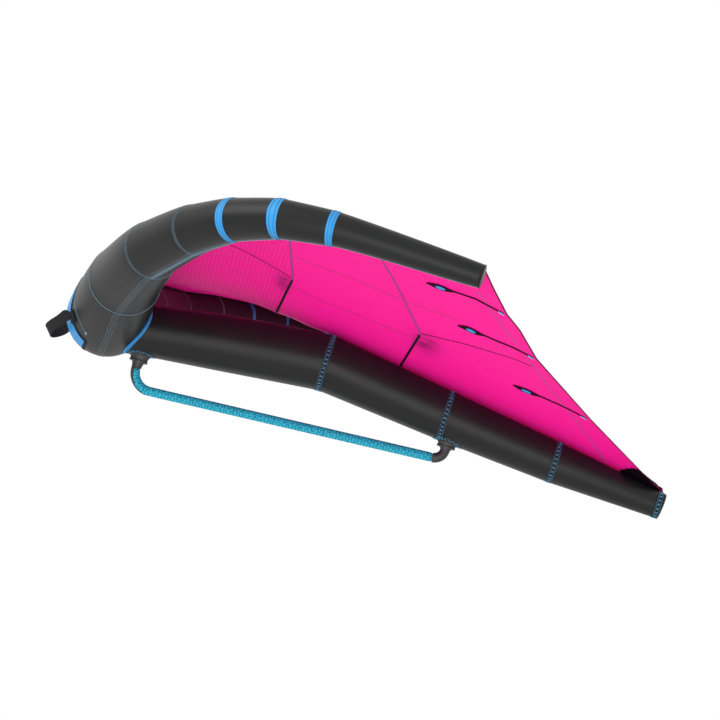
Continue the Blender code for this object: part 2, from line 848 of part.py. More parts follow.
def batten(name, start, end, side, panels, graph):
    """A flat rod that lies against the canopy's lower face."""
    a, b = plan_of(start), plan_of(end)
    across = Vector((a.y - b.y, b.x - a.x)).normalized()
    rows = []
    for share in even_shares(BATTEN_STEPS):
        row = []
        for j in (-1, 1):
            spot = a.lerp(b, share) + across * (BATTEN_WIDTH / 2 * j)
            height = canopy_underside(panels, graph, spot.x, spot.y * side) - BATTEN_SEAT
            row.append(Vector((spot.x, spot.y * side, height)))
        rows.append(row)
    bm = face_up(loft(rows, caps=False, closed=False))
    return thicken(add_piece(name, bm, batten_rod()), BATTEN_THICKNESS)


# Boom


def rounded_corner(corner, before, after, radius, steps):
    """Points of the arc that rounds a corner between two directions of travel."""
    turn = before.angle(after)
    start = corner - before * (radius * math.tan(turn / 2))
    inward = (after - before * before.dot(after)).normalized()
    centre = start + inward * radius
    points = []
    for k in range(steps + 1):
        a = turn * k / steps
        points.append(centre + (before * math.sin(a) - inward * math.cos(a)) * radius)
    return points


def foot_seats():
    """Height of the flat underside of each foot of the boom."""
    front = strut_centre(BOOM_FRONT_X) - strut_radius(BOOM_FRONT_X) - FRONT_FOOT_DEPTH
    rear = strut_centre(BOOM_REAR_X) - strut_radius(BOOM_REAR_X) - REAR_FOOT_DEPTH
    return front, rear


def boom_line():
    """The boom's centre line from the front flange to the rear one, and where its arcs end."""
    front, rear = boom_corners()
    along = (rear - front).normalized()
    front_seat, rear_seat = foot_seats()
    down = -UP
    first = rounded_corner(front, down, along, BOOM_FRONT_BEND, BEND_STEPS)
    last = rounded_corner(rear, along, UP, BOOM_REAR_BEND, BEND_STEPS)
    top = Vector((front.x, 0, front_seat - FLANGE_DEPTH))
    end = Vector((rear.x, 0, rear_seat - FLANGE_DEPTH))
    return top, first, last, end


def path_rings(points, radii, start=None, stop=None, sides=BOOM_SIDES):
    """Rings square to a path. Start and stop give the direction at an end that is cut square."""
    rings = []
    for i, point in enumerate(points):
        before = points[max(i - 1, 0)]
        after = points[min(i + 1, len(points) - 1)]
        direction = (after - before).normalized()
        if i == 0 and start:
            direction = start
        if i == len(points) - 1 and stop:
            direction = stop
        side = ACROSS
        first = side.cross(direction)
        rings.append(ring(point, first, side, radii[i], sides))
    return rings


def boom_tube():
    top, first, last, end = boom_line()
    start = first[0] + UP * SOCKET_DEPTH
    stop = last[-1].lerp(end, TUBE_END_SHARE)
    points = [start] + first + last + [stop]
    rings = path_rings(points, [BOOM_TUBE_RADIUS] * len(points))
    return thicken(add_piece("boom_tube", loft(rings, caps=False), carbon()), BOOM_TUBE_WALL)


def tube_bore_cutter():
    top, first, last, end = boom_line()
    start = first[0] + UP * (SOCKET_DEPTH + FIT_GAP)
    stop = last[-1].lerp(end, TUBE_END_SHARE) + UP * FIT_GAP
    points = [start] + first + last + [stop]
    return cutter("tube_bore", loft(path_rings(points, [BOOM_TUBE_RADIUS + FIT_GAP] * len(points))))


def boom_grip():
    """The foam sleeve, round the front bend and along the straight run."""
    _, first, last, _ = boom_line()
    points = first + [last[0]]
    shift = (last[0] - first[-1]).normalized() * FIT_GAP
    points[-1] = points[-1] - shift
    points[0] = points[0] - UP * FIT_GAP
    outer = BOOM_TUBE_RADIUS + FIT_GAP + GRIP_WALL
    rings = path_rings(points, [outer] * len(points), -UP, (last[0] - first[-1]).normalized())
    return thicken(add_piece("boom_grip", loft(rings, caps=False), grip_foam()), GRIP_WALL)


def flange_rings(centre, depth, flare):
    """The oval flange of a fitting and the flare that narrows it to the round neck."""
    squash = FLANGE_HALF_WIDTH / FLANGE_HALF_LENGTH
    sizes = [(0.0, FLANGE_HALF_LENGTH, squash), (depth - FIT_GAP, FLANGE_HALF_LENGTH, squash)]
    sizes += [(depth + flare * drop, NECK_RADIUS * share, 1.0) for drop, share in NECK_TOP_SHARES]
    return [ring(centre - UP * drop, ALONG, -ACROSS, size, BOOM_SIDES, flat) for drop, size, flat in sizes]


def screw_holes(name, centre_x, top):
    """Two clearance holes, as one cutter each, through a flange and up into its foot."""
    tools = []
    for number, sign in ((1, -1), (2, 1)):
        x = centre_x + sign * SCREW_OFFSET
        low = Vector((x, 0, top - FLANGE_DEPTH - CUT_OVERRUN))
        high = Vector((x, 0, top - FLANGE_DEPTH + SCREW_LENGTH + FIT_GAP))
        rings = [ring(p, ALONG, ACROSS, SCREW_RADIUS + FIT_GAP, SCREW_SIDES) for p in (low, high)]
        tools.append(cutter(f"{name}_hole_{number}", loft(rings)))
    return tools


def front_fitting(bore, holes):
    top, first, _, _ = boom_line()
    flange_top = top + UP * (FLANGE_DEPTH - FIT_GAP)
    rings = flange_rings(flange_top, FLANGE_DEPTH - FIT_GAP, NECK_FLARE)
    low = first[0]
    rings.append(ring(low, ALONG, -ACROSS, NECK_RADIUS * NECK_END_SHARE, BOOM_SIDES))
    obj = add_piece("boom_front_fitting", loft(rings), black_plastic())
    cut(obj, bore)
    for hole in holes:
        cut(obj, hole)
    return obj


def rear_fitting(bore, holes):
    _, _, last, end = boom_line()
    flange_top = end + UP * (FLANGE_DEPTH - FIT_GAP)
    rings = flange_rings(flange_top, FLANGE_DEPTH - FIT_GAP, NECK_FLARE)
    elbow = [last[-1].lerp(end, ELBOW_START_SHARE)] + last[::-1]
    radii = [NECK_RADIUS] * len(elbow)
    back = (boom_corners()[0] - boom_corners()[1]).normalized()
    bend = path_rings(elbow, radii, -UP, back)
    bend = [list(points) for points in bend]
    rings = rings[:3] + aligned(bend, rings[2])
    obj = add_piece("boom_rear_fitting", loft(rings), black_plastic())
    cut(obj, bore)
    for hole in holes:
        cut(obj, hole)
    return obj


def aligned(rings, reference):
    """Turns the rings' point order so that their first points face the reference's first."""
    first = rings[0]
    if ring_turn(first) * ring_turn(reference) < 0:
        rings = [list(reversed(points)) for points in rings]
        first = rings[0]
    shift = min(range(len(first)), key=lambda k: (first[k] - reference[0]).length)
    return [points[shift:] + points[:shift] for points in rings]


def ring_turn(points):
    centre = sum(points, Vector()) / len(points)
    normal = (points[0] - centre).cross(points[1] - centre)
    return normal.z if abs(normal.z) > abs(normal.x) else normal.x


def boom_foot(name, centre_x, seat, tools, holes):
    """A plastic foot under the strut, its top cut to the tubes and its underside flat."""
    squash = FOOT_HALF_WIDTH / FOOT_HALF_LENGTH
    depth = strut_centre(centre_x) - strut_radius(centre_x) - seat
    top = strut_radius(centre_x) * FOOT_REACH_SHARE
    middle_rise, middle_size = FOOT_MIDDLE_SHARES
    sizes = (
        (0.0, FLANGE_HALF_LENGTH),
        (depth * middle_rise, FLANGE_HALF_LENGTH * middle_size),
        (depth, FOOT_HALF_LENGTH),
        (depth + top, FOOT_HALF_LENGTH),
    )
    rings = []
    for rise, size in sizes:
        centre = Vector((centre_x, 0, seat + rise))
        rings.append(ring(centre, ALONG, ACROSS, size, BOOM_SIDES, squash))
    obj = add_piece(name, loft(rings), black_plastic())
    for tool in tools + holes:
        cut(obj, tool)
    return obj


def boom_screws(name, centre_x, seat):
    """Button-head screws up through the flange into the foot."""
    for number, sign in ((1, -1), (2, 1)):
        x = centre_x + sign * SCREW_OFFSET
        face = seat - FLANGE_DEPTH
        sizes = (
            (face - FIT_GAP - SCREW_HEAD_DEPTH, SCREW_HEAD_RADIUS * SCREW_FACE_SHARE),
            (face - FIT_GAP - SCREW_HEAD_DEPTH * SCREW_DOME_SHARE, SCREW_HEAD_RADIUS),
            (face - FIT_GAP, SCREW_HEAD_RADIUS),
            (face - FIT_GAP, SCREW_RADIUS),
            (face + SCREW_LENGTH, SCREW_RADIUS),
        )
        rings = [ring(Vector((x, 0, z)), ALONG, ACROSS, r, SCREW_SIDES) for z, r in sizes]
        add_piece(f"{name}_screw_{number}", loft(rings), screw_steel())


# Nose handle


def handle_frame():
    """Hinge line of the handle and the directions out of the nose and across the strap."""
    lift = NOSE_PATCH_THICKNESS + HANDLE_SEAT + HANDLE_WIDTH / 2
    spot, _ = edge_surface(HANDLE_SPREAD, HANDLE_ANGLE, lift)
    outward = Vector((-math.cos(HANDLE_DROOP), 0, -math.sin(HANDLE_DROOP)))
    wide = Vector((math.sin(HANDLE_DROOP), 0, -math.cos(HANDLE_DROOP)))
    hinge = Vector((spot.x, 0, spot.z))
    return hinge, outward, wide


def nose_handle():
    hinge, outward, wide = handle_frame()
    half = HANDLE_WIDTH / 2
    inner_reach = HANDLE_DEPTH - HANDLE_CORNER
    sections = []
    for share in HANDLE_END_SHARES:
        sections.append((-half * share, half * math.sqrt(1 - share * share)))
    points = [(HANDLE_SPREAD, reach, width, 0.0) for reach, width in sections]
    points += [(HANDLE_SPREAD, inner_reach, half, 0.0)]
    for k in range(1, HANDLE_CORNER_STEPS + 1):
        a = math.pi / 2 * k / HANDLE_CORNER_STEPS
        y = HANDLE_SPREAD - HANDLE_CORNER + HANDLE_CORNER * math.cos(a)
        reach = inner_reach + HANDLE_CORNER * math.sin(a)
        points.append((y, reach, half, a))
    mirrored = [(-y, reach, width, math.pi - a) for y, reach, width, a in reversed(points)]
    rings = []
    for y, reach, width, a in points + mirrored:
        centre = hinge + ACROSS * y + outward * reach
        across = ACROSS * math.cos(a) + outward * math.sin(a)
        thick = across * (HANDLE_STRAP / 2)
        half_wide = wide * width
        upper, lower = centre + half_wide, centre - half_wide
        rings.append([upper + thick, lower + thick, lower - thick, upper - thick])
    bm = loft(rings)
    bmesh.ops.recalc_face_normals(bm, faces=bm.faces)
    return add_piece("nose_handle", bm, black_webbing(), pivot=hinge)


def sleeve_point(reach, side, growth):
    """A point on the centre panel's faceted outside, at one of its sides."""
    first = station_reach(1)
    reaches = ring_reaches(-first, first)
    i = min(max(int(np.searchsorted(reaches, reach, side="right")) - 1, 0), len(reaches) - 2)
    share = (reach - reaches[i]) / (reaches[i + 1] - reaches[i])
    return edge_ring(reaches[i], growth)[side].lerp(edge_ring(reaches[i + 1], growth)[side], share)


def nose_patch():
    """A cloth patch round the front of the nose, lying on the sleeve."""
    first = station_reach(1)
    rings = [reach for reach in ring_reaches(-first, first) if abs(reach) < NOSE_PATCH_HALF - SEAM_GAP]
    rows = []
    for reach in [-NOSE_PATCH_HALF] + rings + [NOSE_PATCH_HALF]:
        rows.append([sleeve_point(reach, side, FIT_GAP) for side in NOSE_PATCH_SIDES])
    bm = loft(rows, caps=False, closed=False)
    bm.normal_update()
    if sum(face.normal.x * face.calc_area() for face in bm.faces) > 0:
        bmesh.ops.reverse_faces(bm, faces=bm.faces)
    return thicken(add_piece("nose_patch", bm, blue_cloth()), NOSE_PATCH_THICKNESS, offset=1.0)


# Inflation valve


def valve_frame():
    spot, outward = edge_surface(VALVE_STATION, VALVE_ANGLE)
    _, along, _, _ = edge_frame(VALVE_STATION)
    first = (along - outward * along.dot(outward)).normalized()
    return spot, outward, first, outward.cross(first)


def revolve(profile, loop, height=0.0):
    """Turns a profile of radius and height about the valve's axis."""
    spot, outward, first, second = valve_frame()
    rings = [ring(spot + outward * (h + height), first, second, r, VALVE_SIDES) for r, h in profile]
    return loft(rings, caps=not loop, loop=loop)


def valve_hole(name, radius):
    low, high = -VALVE_NECK_RADIUS, VALVE_NECK_RADIUS
    return cutter(name, revolve(((radius, low), (radius, high)), False))


def valve_base():
    bottom, top = -VALVE_DEPTH, VALVE_HEIGHT
    profile = (
        (VALVE_FLANGE_RADIUS, bottom),
        (VALVE_FLANGE_RADIUS, bottom + VALVE_FLANGE),
        (VALVE_NECK_RADIUS, bottom + VALVE_FLANGE),
        (VALVE_NECK_RADIUS, top),
        (VALVE_BORE_RADIUS, top),
        (VALVE_BORE_RADIUS, bottom),
    )
    return add_piece("valve_base", revolve(profile, True), black_plastic())


def strap_bar(low, high, near, far):
    """A bar that runs out from the valve's axis, between two heights and two reaches."""
    spot, outward, first, second = valve_frame()
    half = second * (CAP_ARM_WIDTH / 2)
    rings = []
    for reach in (far, near):
        bottom, top = spot + outward * low - first * reach, spot + outward * high - first * reach
        rings.append([bottom - half, top - half, top + half, bottom + half])
    bm = loft(rings)
    bmesh.ops.recalc_face_normals(bm, faces=bm.faces)
    return bm


def valve_insert():
    """The turning insert with its rim, its bore and the lug that carries the cap."""
    spot, outward, first, second = valve_frame()
    seat = VALVE_HEIGHT + FIT_GAP
    outer = VALVE_BORE_RADIUS - FIT_GAP
    profile = (
        (outer, seat + INSERT_RIM - INSERT_DEPTH),
        (outer, seat),
        (INSERT_RIM_RADIUS, seat),
        (INSERT_RIM_RADIUS, seat + INSERT_RIM),
        (INSERT_BORE_RADIUS, seat + INSERT_RIM),
        (INSERT_BORE_RADIUS, seat + INSERT_RIM - INSERT_DEPTH),
    )
    obj = add_piece("valve_insert", revolve(profile, True), black_plastic(), pivot=spot)
    near, far = INSERT_BORE_RADIUS + LUG_MARGIN, CAP_ARM_REACH + LUG_MARGIN
    lug = strap_bar(seat + FIT_GAP, seat + INSERT_RIM, near, far)
    return join_with(obj, cutter("cap_lug", lug))


def flap_hinge():
    spot, outward, first, second = valve_frame()
    bottom = VALVE_HEIGHT + FIT_GAP + INSERT_RIM - INSERT_DEPTH - FIT_GAP
    return spot + outward * bottom - first * FLAP_RADIUS, bottom


def valve_flap():
    hinge, bottom = flap_hinge()
    profile = ((FLAP_RADIUS, bottom - FLAP_THICKNESS), (FLAP_RADIUS, bottom))
    return add_piece("valve_flap", revolve(profile, False), bladder_film(), pivot=hinge)


def cap_hinge():
    spot, outward, first, second = valve_frame()
    height = VALVE_HEIGHT + FIT_GAP * 2 + INSERT_RIM + CAP_ARM_THICKNESS / 2
    return spot + outward * height - first * CAP_ARM_REACH, height


def valve_cap():
    """A low domed cap with a plug that enters the insert, and the strap that it folds on."""
    seat = VALVE_HEIGHT + FIT_GAP * 2 + INSERT_RIM
    plug = INSERT_BORE_RADIUS - FIT_GAP
    profile = (
        (plug, seat - CAP_PLUG_DEPTH),
        (plug, seat),
        (CAP_RADIUS, seat),
        (CAP_RADIUS, seat + CAP_HEIGHT / 2),
        (CAP_RADIUS * CAP_FACE_SHARE, seat + CAP_HEIGHT),
    )
    hinge, height = cap_hinge()
    obj = add_piece("valve_cap", revolve(profile, False), black_plastic(), pivot=hinge)
    half = CAP_ARM_THICKNESS / 2
    arm = strap_bar(height - half, height + half, CAP_RADIUS * CAP_ARM_ROOT_SHARE, CAP_ARM_REACH)
    return join_with(obj, cutter("cap_strap", arm))


# Zip of the strut


def zip_line():
    """Start, direction and outward direction of the zip, on the strut's far side."""
    a, b = strut_station(4)[0].x, strut_station(5)[0].x
    start_x = a + (b - a) * ZIP_START_SHARE
    start = Vector((start_x, strut_radius(start_x), strut_centre(start_x)))
    end = Vector((b, strut_radius(b), strut_centre(b)))
    along = (end - start).normalized()
    outward = (ACROSS - along * ACROSS.dot(along)).normalized()
    return start, along, outward


def plate(start, along, wide, thick, length, width, thickness):
    """A flat bar from the start point, centred on its width, rising by its thickness."""
    rings = []
    for reach in (0.0, length):
        centre = start + along * reach
        half, rise = wide * (width / 2), thick * thickness
        rings.append([centre - half, centre + half, centre + half + rise, centre - half + rise])
    bm = loft(rings)
    bmesh.ops.recalc_face_normals(bm, faces=bm.faces)
    return bm


def zip_tape():
    start, along, outward = zip_line()
    wide = along.cross(outward)
    base = start + outward * FIT_GAP
    bm = plate(base, along, wide, outward, ZIP_LENGTH, ZIP_WIDTH, ZIP_THICKNESS)
    return add_piece("strut_zip", bm, black_webbing())


def zip_slider():
    start, along, outward = zip_line()
    wide = along.cross(outward)
    base = start + outward * (FIT_GAP * 2 + ZIP_THICKNESS) + along * SLIDER_LENGTH / 2
    bm = plate(base, along, wide, outward, SLIDER_LENGTH, SLIDER_WIDTH, SLIDER_HEIGHT)
    obj = add_piece("zip_slider", bm, screw_steel(), pivot=base)
    pull_start = base + along * (SLIDER_LENGTH / 2) + outward * (SLIDER_HEIGHT / 2)
    pull = plate(pull_start, along, wide, outward, PULL_LENGTH, PULL_WIDTH, PULL_THICKNESS)
    return join_with(obj, cutter("zip_pull", pull))


def build_leading_edge():
    sleeve_valve_hole = valve_hole("sleeve_valve_hole", VALVE_NECK_RADIUS + FIT_GAP * 2)
    bladder_valve_hole = valve_hole("bladder_valve_hole", VALVE_NECK_RADIUS + FIT_GAP)
    start, end = TRANSFER_START - CUT_OVERRUN, TRANSFER_START + TRANSFER_LENGTH
    hole = transfer_profile(TRANSFER_RADIUS + FIT_GAP, start, end)
    transfer_hole = cutter("transfer_hole", loft(hole))
    first = station_reach(1)
    sleeve_panel("sleeve_centre", -first, first, (sleeve_valve_hole, transfer_hole))
    for name, inboard, outboard in EDGE_PANELS:
        low, high = station_reach(inboard), station_reach(outboard)
        sleeve_panel(f"sleeve_{name}_right", low, high)
        sleeve_panel(f"sleeve_{name}_left", -high, -low)
    tip_cap("tip_cap_right", 1)
    tip_cap("tip_cap_left", -1)
    edge_bladder((bladder_valve_hole, transfer_hole))
    strut_bladder((transfer_hole,))
    transfer_tube()


def build_strut():
    edge_tool = cutter("edge_solid", edge_solid(FIT_GAP, -station_reach(1), station_reach(1)))
    for name, first, last in STRUT_PANELS:
        strut_panel("strut_" + name, first, last, (edge_tool,) if first == 0 else ())
    strut_end_cap()
    return edge_tool


def build_canopy():
    for side_name, side in (("right", 1), ("left", -1)):
        panels = front_panels(side_name, side) + middle_panels(side_name, side) + rear_panels(side_name, side)
        bpy.context.view_layer.update()
        graph = bpy.context.evaluated_depsgraph_get()
        for name, start, end in BATTEN_SHARES:
            batten(f"batten_{name}_{side_name}", start, end, side, panels, graph)


def build_boom(edge_tool):
    strut_tool = cutter("strut_solid", strut_solid(FIT_GAP))
    bore = tube_bore_cutter()
    front_seat, rear_seat = foot_seats()
    front_holes = screw_holes("front", BOOM_FRONT_X, front_seat)
    rear_holes = screw_holes("rear", BOOM_REAR_X, rear_seat)
    boom_foot("boom_foot_front", BOOM_FRONT_X, front_seat, [strut_tool, edge_tool], front_holes)
    boom_foot("boom_foot_rear", BOOM_REAR_X, rear_seat, [strut_tool], rear_holes)
    boom_tube()
    boom_grip()
    front_fitting(bore, front_holes)
    rear_fitting(bore, rear_holes)
    boom_screws("boom_front", BOOM_FRONT_X, front_seat)
    boom_screws("boom_rear", BOOM_REAR_X, rear_seat)


def main():
    clear_scene()
    build_leading_edge()
    edge_tool = build_strut()
    build_canopy()
    build_boom(edge_tool)
    nose_patch()
    nose_handle()
    valve_base()
    valve_insert()
    valve_flap()
    valve_cap()
    zip_tape()
    zip_slider()


main()
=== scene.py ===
"""Wingfoil wing, dressed: sewn cloth, stitching, battens, boom and fittings round the CAD frame."""

import math

import bmesh
import bpy
import numpy as np
from mathutils import Matrix, Vector


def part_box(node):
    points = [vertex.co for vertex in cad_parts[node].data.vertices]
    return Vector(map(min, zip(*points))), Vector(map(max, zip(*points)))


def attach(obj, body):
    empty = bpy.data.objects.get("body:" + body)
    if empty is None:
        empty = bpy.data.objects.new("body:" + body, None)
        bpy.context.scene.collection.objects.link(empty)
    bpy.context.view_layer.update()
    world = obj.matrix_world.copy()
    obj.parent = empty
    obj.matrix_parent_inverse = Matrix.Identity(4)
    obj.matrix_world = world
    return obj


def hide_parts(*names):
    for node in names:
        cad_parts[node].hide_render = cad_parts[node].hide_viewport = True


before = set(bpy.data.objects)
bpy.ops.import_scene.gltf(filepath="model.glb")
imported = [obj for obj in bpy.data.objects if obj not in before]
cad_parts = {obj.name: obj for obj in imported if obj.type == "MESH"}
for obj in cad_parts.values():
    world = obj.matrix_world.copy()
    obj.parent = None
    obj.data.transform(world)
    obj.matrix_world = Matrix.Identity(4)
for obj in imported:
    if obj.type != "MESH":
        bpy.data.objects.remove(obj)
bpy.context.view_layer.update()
scene = bpy.context.scene

# Studio: the wing hangs in the air over a pale floor, and is seen from a little below its nose.
# Soft even light all round, as in a white room.

CAMERA_YAW = math.radians(-0.9)
CAMERA_PITCH = math.radians(7.9)
CAMERA_ROLL = math.radians(-17.6)
CAMERA_LENS = 150
# Distance to the nose, and the nose's place to the left of and above the middle of the view.
CAMERA_REACH = 10.345
CAMERA_ASIDE = 0.8697
CAMERA_DROP = 0.1517
ROOM_STRENGTH = 0.92
# Where the middle of the nose tube is, as seen from the part's origin at the boom's grip.
NOSE_MIDDLE = Vector((-0.698, 0.0, 0.16905))

flat_ahead = Vector((math.sin(CAMERA_YAW), math.cos(CAMERA_YAW), 0))
sight = flat_ahead * math.cos(CAMERA_PITCH) + Vector((0, 0, math.sin(CAMERA_PITCH)))
level = sight.cross(Vector((0, 0, 1))).normalized()
upright = level.cross(sight)
picture_x = level * math.cos(CAMERA_ROLL) - upright * math.sin(CAMERA_ROLL)
picture_y = level * math.sin(CAMERA_ROLL) + upright * math.cos(CAMERA_ROLL)
camera_data = bpy.data.cameras.new("camera")
camera_data.lens = CAMERA_LENS
camera_data.clip_end = 100
camera = bpy.data.objects.new("camera", camera_data)
scene.collection.objects.link(camera)
turn = Matrix((picture_x, picture_y, -sight)).transposed()
camera.matrix_world = turn.to_4x4()
camera.location = NOSE_MIDDLE + picture_x * CAMERA_ASIDE - picture_y * CAMERA_DROP - sight * CAMERA_REACH
scene.camera = camera

scene.view_settings.view_transform = "Standard"
world = bpy.data.worlds.new("white_room")
scene.world = world
world.use_nodes = True


def feed(tree, node, inputs):
    """Gives a node's inputs, by name or number, a value each or another node's output."""
    for title, value in inputs.items():
        if isinstance(value, bpy.types.NodeSocket):
            tree.links.new(value, node.inputs[title])
        else:
            node.inputs[title].default_value = value


def add_node(tree, kind, inputs=None, **settings):
    """A new node with its settings made and its inputs fed."""
    node = tree.nodes.new(kind)
    for title, value in settings.items():
        setattr(node, title, value)
    feed(tree, node, inputs or {})
    return node


def reckon(tree, operation, *values):
    """Output of a sum on numbers and other nodes' outputs."""
    return add_node(tree, "ShaderNodeMath", dict(enumerate(values)), operation=operation).outputs[0]


def white_light(strength):
    inputs = {"Color": (1, 1, 1, 1), "Strength": strength}
    return add_node(world.node_tree, "ShaderNodeBackground", inputs).outputs[0]


# Whatever looks straight at the room, or sees it mirrored, finds it pure white.
world.node_tree.nodes.clear()
ray = add_node(world.node_tree, "ShaderNodeLightPath").outputs
seen = reckon(world.node_tree, "MAXIMUM", ray["Is Camera Ray"], ray["Is Glossy Ray"])
seen = reckon(world.node_tree, "MAXIMUM", seen, ray["Is Transmission Ray"])
room_mix = {"Fac": seen, 1: white_light(ROOM_STRENGTH), 2: white_light(1.0)}
either = add_node(world.node_tree, "ShaderNodeMixShader", room_mix).outputs[0]
add_node(world.node_tree, "ShaderNodeOutputWorld", {"Surface": either})

LAMPS = (
    ("lamp_above", (-6.0, -3.0, 3.4), 4.0, 230),
    ("lamp_below", (0.2, -7.5, -2.2), 4.5, 225),
)
for lamp_name, place, side, watts in LAMPS:
    lamp_data = bpy.data.lights.new(lamp_name, "AREA")
    lamp_data.size = side
    lamp_data.energy = watts
    lamp = bpy.data.objects.new(lamp_name, lamp_data)
    lamp.location = place
    lamp.rotation_mode = "QUATERNION"
    lamp.rotation_quaternion = (-Vector(place)).to_track_quat("-Z", "Y")
    scene.collection.objects.link(lamp)

FLOOR_HALF = 30.0
FLOOR_HEIGHT = -4.4
floor_mesh = bpy.data.meshes.new("floor")
floor_signs = ((-1, -1), (1, -1), (1, 1), (-1, 1))
floor_corners = [(x * FLOOR_HALF, y * FLOOR_HALF, FLOOR_HEIGHT) for x, y in floor_signs]
floor_mesh.from_pydata(floor_corners, [], [(0, 1, 2, 3)])
floor = bpy.data.objects.new("floor", floor_mesh)
scene.collection.objects.link(floor)
floor_paint = bpy.data.materials.new("pale_floor")
floor_paint.use_nodes = True
floor_shader = floor_paint.node_tree.nodes["Principled BSDF"]
feed(floor_paint.node_tree, floor_shader, {"Base Color": (0.86, 0.86, 0.86, 1), "Roughness": 0.9})
floor_mesh.materials.append(floor_paint)

# Leading edge sleeve. A tapered tube of coated polyester cloth, sewn from eleven panels with
# lapped ring seams, and held round by the air tube inside. It bends a little at every seam.

# Each ring seam from the middle of the nose to the tip: aft, out, up and the tube's radius.
RING_SEAMS = np.array(
    (
        (0.0000, 0.0000, 0.0000, 0.1410),
        (0.0507, 0.3244, 0.0917, 0.1232),
        (0.1386, 0.6586, 0.1660, 0.0969),
        (0.2624, 0.8765, 0.2337, 0.0816),
        (0.3834, 1.0238, 0.2771, 0.0692),
        (0.5270, 1.1315, 0.3053, 0.0634),
        (0.6964, 1.1786, 0.3178, 0.0546),
        (1.1720, 1.2380, 0.3035, 0.0369),
    )
)
TUBE_BEND = 0.45
SLEEVE_SIDES = 96
SLEEVE_RING_STEP = 0.010
SLEEVE_CLOTH = 0.0009
SEAM_PINCH = 0.0011
SEAM_PINCH_REACH = 0.007
PUCKER = 0.0007
PUCKER_REACH = 0.026
PUCKERS_ROUND = 23
SLEEVE_PANELS = (("root", 1, 2), ("inner", 2, 3), ("shoulder", 3, 4), ("outer", 4, 6), ("tip", 6, 7))

seam_gaps = np.linalg.norm(np.diff(RING_SEAMS[:, :3], axis=0), axis=1)
SEAM_REACH = np.concatenate(([0.0], np.cumsum(seam_gaps)))
TUBE_END = float(SEAM_REACH[-1])


def seam_slopes():
    """Direction of the tube at each ring seam, the nose being level across."""
    spots = np.vstack((RING_SEAMS[1, :3] * (1, -1, 1), RING_SEAMS[:, :3]))
    along = np.concatenate(([-SEAM_REACH[1]], SEAM_REACH))
    slopes = []
    for i in range(1, len(spots) - 1):
        before = (spots[i] - spots[i - 1]) / (along[i] - along[i - 1])
        after = (spots[i + 1] - spots[i]) / (along[i + 1] - along[i])
        near = (along[i + 1] - along[i]) / (along[i + 1] - along[i - 1])
        slopes.append(before * near + after * (1 - near))
    slopes.append((spots[-1] - spots[-2]) / (along[-1] - along[-2]))
    return np.array(slopes)


SEAM_SLOPES = seam_slopes()


def tube_frame(reach):
    """Middle, direction, up and aft of the tube at a distance from the nose, the left negative."""
    along = min(abs(reach), TUBE_END)
    i = min(int(np.searchsorted(SEAM_REACH, along, side="right")) - 1, len(SEAM_REACH) - 2)
    step = SEAM_REACH[i + 1] - SEAM_REACH[i]
    t = (along - SEAM_REACH[i]) / step
    p0, p1 = RING_SEAMS[i, :3], RING_SEAMS[i + 1, :3]
    m0, m1 = SEAM_SLOPES[i] * step * TUBE_BEND, SEAM_SLOPES[i + 1] * step * TUBE_BEND
    middle = p0 * (2 * t**3 - 3 * t**2 + 1) + m0 * (t**3 - 2 * t**2 + t)
    middle = middle + p1 * (3 * t**2 - 2 * t**3) + m1 * (t**3 - t**2)
    slope = p0 * (6 * t**2 - 6 * t) + m0 * (3 * t**2 - 4 * t + 1)
    slope = slope + p1 * (6 * t - 6 * t**2) + m1 * (3 * t**2 - 2 * t)
    direction = Vector(slope).normalized()
    middle = Vector(middle) + direction * (abs(reach) - along)
    if reach < 0:
        middle.y = -middle.y
        direction = Vector((-direction.x, direction.y, -direction.z))
    up = (Vector((0, 0, 1)) - direction * direction.z).normalized()
    return middle + NOSE_MIDDLE, direction, up, direction.cross(up)


def tube_radius(reach):
    return float(np.interp(abs(reach), SEAM_REACH, RING_SEAMS[:, 3]))


def tube_spot(reach, angle, proud=0.0):
    """A point on the tube and the way out of it. The angle runs from the top towards the tail."""
    middle, _, up, aft = tube_frame(reach)
    outward = up * math.cos(angle) + aft * math.sin(angle)
    return middle + outward * (tube_radius(reach) + proud), outward


def seam_reach(seam):
    """Distance of a ring seam from the nose, where a part number lies between two seams."""
    return float(np.interp(seam, range(len(SEAM_REACH)), SEAM_REACH))


def new_finish(name, colour):
    """A new material, its node tree and its main shader."""
    made = bpy.data.materials.new(name)
    made.use_nodes = True
    made.diffuse_color = (*colour, 1)
    return made, made.node_tree, made.node_tree.nodes["Principled BSDF"]


def noise_pattern(tree, place, scale, detail=2.0, roughness=0.5):
    inputs = {"Vector": place, "Scale": scale, "Detail": detail, "Roughness": roughness}
    return add_node(tree, "ShaderNodeTexNoise", inputs).outputs["Fac"]


def mixed_colour(tree, share, first, second):
    inputs = {"Factor": share, "A": first, "B": second}
    return add_node(tree, "ShaderNodeMix", inputs, data_type="RGBA").outputs["Result"]


def tinted(colour, strength, lift=0.0):
    """A colour made lighter or darker, with its alpha."""
    return (*(min(c * strength + lift, 1) for c in colour), 1)


def bumped(tree, height, strength, depth, over=None):
    """Normal that follows a height pattern, over another normal where one is given."""
    inputs = {"Strength": strength, "Distance": depth, "Height": height}
    if over is not None:
        inputs["Normal"] = over
    return add_node(tree, "ShaderNodeBump", inputs).outputs["Normal"]


# Blender's Wave has one band for every 2 pi / 20 of its scale.
WAVE_BAND = 0.314


